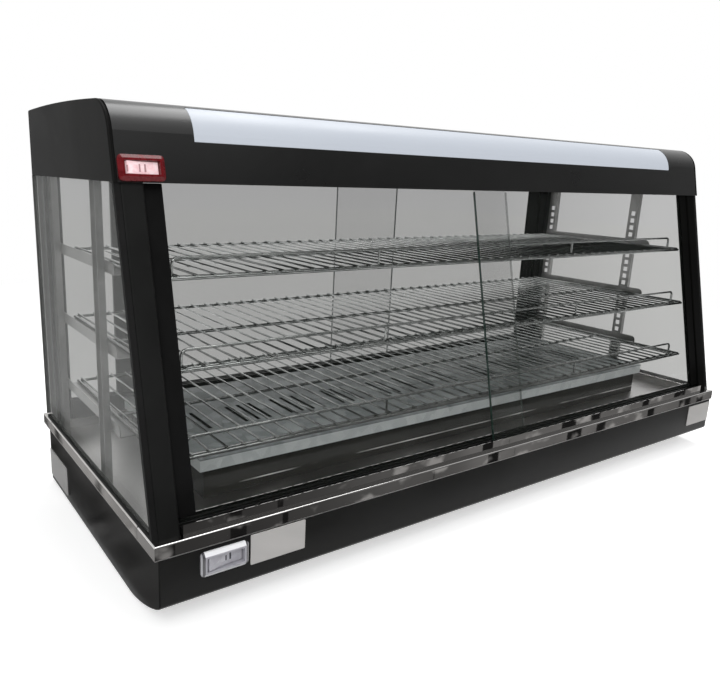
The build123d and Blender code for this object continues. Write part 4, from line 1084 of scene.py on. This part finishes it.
@dataclass
class WireShelf:
    """One wire shelf with its guard rail, in round wire."""

    tier: Tier
    frame_wire: float = 5.0 * MM
    grid_wire: float = 3.0 * MM
    guard_wire: float = 4.0 * MM
    guard_post_wire: float = 3.4 * MM
    grid_pitch: float = 24.0 * MM
    weld: float = 0.6 * MM
    weld_gap: float = 0.3 * MM
    second_wire: float = 8.0 * MM
    guard_rise: float = 23.5 * MM
    guard_bend: float = 8.0 * MM
    bend_steps: int = 6
    guard_end_bays: int = 1
    guard_post_bays: int = 9
    merge: float = 0.01 * MM
    hexagon_half: float = math.radians(30.0)
    sides: int = 10
    grid_sides: int = 8

    def build(self) -> None:
        """Model the shelf and its guard, and stand them for the CAD nodes."""
        low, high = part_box(f"{self.tier.value}_shelf")
        corner = self.frame_wire / 2 / math.cos(self.hexagon_half)
        level = low.z + self.frame_wire / 2
        front, back = low.y + corner, high.y - corner
        half = high.x - corner
        count = int((half - self.frame_wire) / self.grid_pitch)
        self.grid(level, front, back, half, count)
        self.guard(level, front + self.second_wire, count)

    def grid(self, level: float, front: float, back: float, half: float, count: int) -> None:
        """Frame, cross wires and grid wires of the shelf.

        Args:
            level: Height of the cross wires.
            front: Y of the front wire.
            back: Y of the rear wire.
            half: X of the side wire.
            count: Grid wires on each side of the middle one.
        """
        corner = (-half, front, level)
        cross = Bench.rod("cross_wire", corner, (half, front, level), self.frame_wire, self.sides)
        moves = (self.second_wire, (back - front) / 2, back - front)
        wires = [cross, *Bench.copies(cross, [Vector((0.0, move, 0.0)) for move in moves])]
        side = Bench.rod("side_wire", corner, (-half, back, level), self.frame_wire, self.sides)
        wires += [side, *Bench.copies(side, [Vector((2 * half, 0.0, 0.0))])]
        upper = level + (self.frame_wire + self.grid_wire) / 2 - self.weld
        run = self.grid_wire / 2
        thin = Bench.rod("grid_wire", (0.0, front - run, upper), (0.0, back + run, upper), self.grid_wire,
                         self.grid_sides)
        shifts = [Vector((n * self.grid_pitch, 0.0, 0.0)) for n in range(-count, count + 1) if n]
        wires += [thin, *Bench.copies(thin, shifts)]
        self.stand_for(Bench.join(f"{self.tier.value}_shelf_wires", wires), f"{self.tier.value}_shelf")

    def guard(self, level: float, y: float, count: int) -> None:
        """Bent guard rail with its two posts.

        Args:
            level: Height of the shelf's cross wires.
            y: Y of the guard.
            count: Grid wires on each side of the middle one.
        """
        base = level + self.frame_wire / 2
        top = level + self.guard_rise
        beside = (self.grid_wire + self.guard_wire) / 2 + self.weld_gap
        end = (count - self.guard_end_bays) * self.grid_pitch + beside
        straight, shoulder = end - self.guard_bend, top - self.guard_bend
        Bench.clear()
        bpy.ops.mesh.primitive_circle_add(
            vertices=self.sides, radius=self.guard_wire / 2, fill_type="NGON", location=(-end, y, base))
        rail = Bench.start("guard_rail")
        Bench.settle(rail)
        bpy.ops.object.mode_set(mode="EDIT")
        bpy.ops.mesh.select_all(action="SELECT")
        self.pull((0.0, 0.0, shoulder - base))
        self.turn((-straight, y, shoulder))
        self.pull((2 * straight, 0.0, 0.0))
        self.turn((straight, y, shoulder))
        self.pull((0.0, 0.0, base - shoulder))
        bpy.ops.mesh.select_all(action="SELECT")
        bpy.ops.mesh.remove_doubles(threshold=self.merge)
        bpy.ops.mesh.normals_make_consistent(inside=False)
        bpy.ops.object.mode_set(mode="OBJECT")
        x = self.guard_post_bays * self.grid_pitch + beside
        post = Bench.rod("guard_post", (-x, y, base), (-x, y, top), self.guard_post_wire, self.sides)
        posts = [post, *Bench.copies(post, [Vector((2 * x, 0.0, 0.0))])]
        piece = Bench.join(f"{self.tier.value}_guard_wire", [rail, *posts])
        self.stand_for(piece, f"{self.tier.value}_shelf_guard")

    @staticmethod
    def pull(move: Place) -> None:
        """Extrude the selected end of the wire along a move."""
        bpy.ops.mesh.extrude_region_move(TRANSFORM_OT_translate={"value": move})

    def turn(self, centre: Place) -> None:
        """Bend the selected end of the wire by a right angle round a centre."""
        bpy.ops.mesh.spin(steps=self.bend_steps, angle=RIGHT_ANGLE, center=centre, axis=(0.0, -1.0, 0.0))

    def stand_for(self, piece: Piece, node: str) -> None:
        """Finish a wire piece in place of its CAD node.

        Args:
            piece: Joined wires.
            node: CAD node that it stands for.
        """
        Bench.smooth(piece)
        dress(CHROME_WIRE, piece)
        seat(piece, Body(f"{self.tier.value}_shelf_unit"), "chrome_wire", node)


@dataclass
class ShelfSupports:
    """Slotted uprights and the rails that hook into them."""

    def build(self) -> None:
        """Dress the uprights and rails."""
        dress(SUPPORT_STEEL, *[f"{side.value}_uprights" for side in Side])
        dress(SUPPORT_STEEL, *[f"{tier.value}_shelf_rails" for tier in Tier])


@dataclass
class HeaterUnit:
    """Heater box, its slotted cover and the elements."""

    margin: float = 6.0 * MM
    wall: float = 0.8 * MM

    def build(self) -> None:
        """Dress the heater."""
        low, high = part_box("heater_cover")
        reach = (high.x - self.margin, (low.y + high.y) / 2, (high.y - low.y) / 2 - self.margin)
        dress(replace(GALVANISED, top=high.z, reach=reach), "heater_cover")
        low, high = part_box("heater_box")
        inside = ((low.y + high.y) / 2, (high.y - low.y) / 2 - self.wall)
        dress(replace(HEATER_BLACK, inside=inside), "heater_box", "element_brackets")
        dress(ELEMENT_STEEL, "heating_elements")


@dataclass
class RoofLight:
    """Light panel in the fascia with its tube and holders."""

    def build(self) -> None:
        """Dress the light."""
        dress(DIFFUSER, "light_diffuser")
        dress(TUBE_WHITE, "light_tube")
        dress(BLACK_PLASTIC, "light_tube_holders")


@dataclass
class Switches:
    """Covered rocker switches of the lamp and of the heater."""

    def build(self) -> None:
        """Dress both switches."""
        dress(RED_COVER, "lamp_switch_body")
        dress(RED_LENS, "lamp_switch_rocker")
        dress(CLEAR_COVER, "power_switch_body")
        dress(PALE_LENS, "power_switch_rocker")


@dataclass
class RearControls:
    """Thermostat, cable gland and terminal block."""

    def build(self) -> None:
        """Dress the rear controls."""
        dress(BLACK_PLASTIC, "thermostat_body", "thermostat_knob", "cable_gland", "terminal_block")


@dataclass
class Studio:
    """Floor, dark cards, white surroundings, soft lamps and the camera."""

    floor_half: float = 8.0
    floor_drop: float = 0.4 * MM
    floor_shade: Colour = (0.8, 0.8, 0.8)
    floor_fade: Span = (0.9, 2.4)
    floor_glow: float = 0.55
    ambient: float = 0.38
    backdrop: Triple = (0.0, 0.75, 0.66)
    room_edge: Span = (-0.4, 0.68)
    room_dim: float = 0.1
    card_shade: Colour = (1.0, 0.98, 0.965)
    card_hidden: tuple[str, ...] = ("camera", "diffuse", "transmission", "volume_scatter", "shadow")
    card_blocks: float = 10.0
    card_block_half: Span = (-0.04, 0.26)
    card_tones: Span = (0.015, 0.3)
    card_patch: Span = (0.54, 0.64)
    card_stretch: Triple = (15.0, 15.0, 22.0)
    card_end: Span = (-0.45, 0.05)
    card_end_tone: float = 0.25
    wall_shade: Colour = (1.0, 1.0, 0.985)
    wall_tones: Span = (0.46, 0.63)
    wall_edge: Span = (0.75, 0.87)
    eye: Triple = (-0.842841, -0.888132, 0.516413)
    yaw: float = math.radians(34.3239)
    pitch: float = math.radians(14.0661)
    roll: float = math.radians(1.9882)
    focal_px: float = 682.993
    centre_px: Span = (310.013, 346.175)
    cards: tuple[tuple[str, Place, Place, Axis, Span], ...] = (
        ("front_card", (-0.8, -0.345, 0.0), (1.2, -0.34, 0.15), Axis.X, (0.05, 0.28)),
        ("side_card", (-0.634, -0.3, 0.03), (-0.63, 0.6, 0.09), Axis.Y, (0.3, 0.55)),
        # The side flag is painted shade: a dark strip on the floor by the base's left side for the base to
        # mirror.
        ("side_flag", (-0.67, -0.3, 0.0), (-0.602, 0.6, 0.002), Axis.Y, (0.05, 0.1)),
    )
    lamps: tuple[tuple[str, Place, Place, float, float], ...] = (
        ("key_softbox", (-2.0, -2.2, 2.4), (0.0, 0.0, 0.3), 1.6, 48.0),
        ("top_softbox", (0.7, 0.4, 3.4), (0.0, 0.0, 0.4), 2.2, 70.0),
        ("fill_softbox", (0.2, -2.4, 3.4), (0.0, 0.0, 0.3), 3.0, 26.0),
    )

    def build(self) -> None:
        """Set up the floor, the cards, the world, the lamps and the camera."""
        self.floor()
        for card in self.cards:
            self.card(*card)
        self.world()
        for lamp in self.lamps:
            self.softbox(*lamp)
        self.camera()
        bpy.context.scene.view_settings.view_transform = "Standard"

    @staticmethod
    def through_glass(sheet: NodeSheet, path: Node) -> Socket:
        """Mask of camera rays that reach the surroundings through a pane."""
        passed = path.outputs["Transparent Depth"]
        return sheet.math("MULTIPLY", path.outputs[Ray.CAMERA.value], passed, clamp=True)

    def wall_tone(self, sheet: NodeSheet, sight_line: Socket) -> Socket:
        """Brightness of the wall behind the panes along a sight line, paler towards the right."""
        across = sheet.add("SeparateXYZ", Vector=sight_line).outputs["X"]
        return sheet.spread(across, *self.wall_tones, *self.wall_edge)

    def floor(self) -> None:
        """Pale floor that keeps a soft shadow and is white farther out."""
        Bench.clear()
        bpy.ops.mesh.primitive_plane_add(size=2 * self.floor_half, location=(0.0, 0.0, -self.floor_drop))
        floor = Bench.start("studio_floor")
        pale = bpy.data.materials.new("pale_floor")
        sheet = NodeSheet.blank(pale)
        matt = sheet.add("BsdfDiffuse", Color=self.floor_shade).outputs["BSDF"]
        near = sheet.add("AddShader", None, matt, sheet.emission(WHITE, self.floor_glow)).outputs[0]
        reach = sheet.vector("LENGTH", sheet.place()).outputs["Value"]
        away = sheet.spread(reach, 0.0, 1.0, *self.floor_fade, soft=True)
        seen = sheet.mixed(away, near, sheet.emission(WHITE, 1.0))
        path = sheet.add("LightPath")
        from_eye = sheet.vector("SUBTRACT", sheet.place(), self.eye).outputs["Vector"]
        sight_line = sheet.vector("NORMALIZE", from_eye).outputs["Vector"]
        wall = sheet.emission(self.wall_shade, self.wall_tone(sheet, sight_line))
        seen = sheet.mixed(self.through_glass(sheet, path), seen, wall)
        sight = sheet.highest(*[path.outputs[kind.value] for kind in Ray])
        sheet.out(sheet.mixed(sight, matt, seen))
        floor.data.materials.append(pale)

    def card(self, name: str, low: Place, high: Place, along: Axis, shades: Span) -> None:
        """Dark blocky card near the base, there for polished metal to mirror and seen by nothing else.

        Args:
            name: Card name.
            low: Lowest corner.
            high: Highest corner.
            along: Axis along which its blocks follow each other.
            shades: Darkest and palest open part.
        """
        card = Bench.slab(name, low, high)
        for kind in self.card_hidden:
            setattr(card, f"visible_{kind}", False)
        dark = bpy.data.materials.new(name)
        sheet = NodeSheet.blank(dark)
        run = sheet.axis(along)
        blocks = sheet.add("TexVoronoi", {"voronoi_dimensions": "1D"}, W=run, Scale=self.card_blocks)
        wide = sheet.spread(sheet.red(blocks.outputs["Color"]), *self.card_block_half)
        open_part = sheet.math("GREATER_THAN", blocks.outputs["Distance"], wide)
        cloud = sheet.add("TexNoise", {"noise_dimensions": "1D"}, W=run, Scale=5.0, Detail=2.0).outputs["Fac"]
        shown = sheet.both(open_part, sheet.spread(run, self.card_end_tone, 1.0, *self.card_end, soft=True))
        patch = sheet.noise(sheet.stretched(self.card_stretch), Scale=1.0, Detail=3.0)
        pale = sheet.spread(patch, *self.card_tones, *self.card_patch, soft=True)
        tone = sheet.math("MULTIPLY_ADD", shown, sheet.spread(cloud, *shades), pale)
        sheet.out(sheet.emission(self.card_shade, tone))
        card.data.materials.append(dark)

    def world(self) -> None:
        """White backdrop behind and above, with a dim room in front of it."""
        world = bpy.data.worlds.new("white_studio")
        bpy.context.scene.world = world
        sheet = NodeSheet.blank(world)
        path = sheet.add("LightPath")
        around = sheet.add("TexCoord").outputs["Generated"]
        side = sheet.vector("DOT_PRODUCT", around, self.backdrop).outputs["Value"]
        room = sheet.spread(side, self.room_dim, 1.0, *self.room_edge, soft=True)
        lit = sheet.both(room, path.outputs[Ray.GLOSSY.value])
        seen = sheet.spread(self.through_glass(sheet, path), 1.0, self.wall_tone(sheet, around))
        direct = sheet.both(path.outputs[Ray.CAMERA.value], seen)
        soft = sheet.math("MULTIPLY", path.outputs["Is Diffuse Ray"], self.ambient)
        level = sheet.highest(lit, direct, path.outputs[Ray.TRANSMISSION.value], soft)
        white = sheet.add("Background", Color=WHITE, Strength=level).outputs["Background"]
        sheet.out(white, "OutputWorld")

    @staticmethod
    def softbox(name: str, place: Place, aim: Place, size: float, power: float) -> None:
        """Square soft lamp.

        Args:
            name: Lamp name.
            place: Middle of the lamp.
            aim: Point it faces.
            size: Side of the square.
            power: Watts.
        """
        light = bpy.data.lights.new(name, "AREA")
        light.size = size
        light.energy = power
        lamp = bpy.data.objects.new(name, light)
        lamp.location = place
        lamp.rotation_euler = (Vector(aim) - Vector(place)).to_track_quat("-Z", "Y").to_euler()
        bpy.context.scene.collection.objects.link(lamp)

    def camera(self) -> None:
        """Camera at the photograph's place, angle and frame."""
        lens = bpy.data.cameras.new("photo_camera")
        lens.sensor_width = SENSOR_MM
        lens.lens = self.focal_px / IMAGE_WIDTH * SENSOR_MM
        lens.shift_x = (IMAGE_WIDTH / 2 - self.centre_px[0]) / IMAGE_WIDTH
        lens.shift_y = (self.centre_px[1] - IMAGE_HEIGHT / 2) / IMAGE_WIDTH
        lens.dof.use_dof = False
        camera = bpy.data.objects.new("photo_camera", lens)
        level_run = math.cos(self.pitch)
        look = Vector((math.sin(self.yaw) * level_run, math.cos(self.yaw) * level_run, -math.sin(self.pitch)))
        level = look.cross(Vector((0.0, 0.0, 1.0))).normalized()
        above = level.cross(look)
        right = math.cos(self.roll) * level + math.sin(self.roll) * above
        up = -math.sin(self.roll) * level + math.cos(self.roll) * above
        turn = Matrix((right, up, -look)).transposed().to_4x4()
        camera.matrix_world = Matrix.Translation(Vector(self.eye)) @ turn
        bpy.context.scene.collection.objects.link(camera)
        bpy.context.scene.camera = camera


def main() -> None:
    """Build every sub-assembly in order."""
    logging.basicConfig(level=logging.INFO, format="%(name)s: %(message)s")
    CabinetShell().build()
    Glazing().build()
    for tier in Tier:
        WireShelf(tier).build()
    ShelfSupports().build()
    HeaterUnit().build()
    RoofLight().build()
    Switches().build()
    RearControls().build()
    Studio().build()


if __name__ == "__main__":
    main()
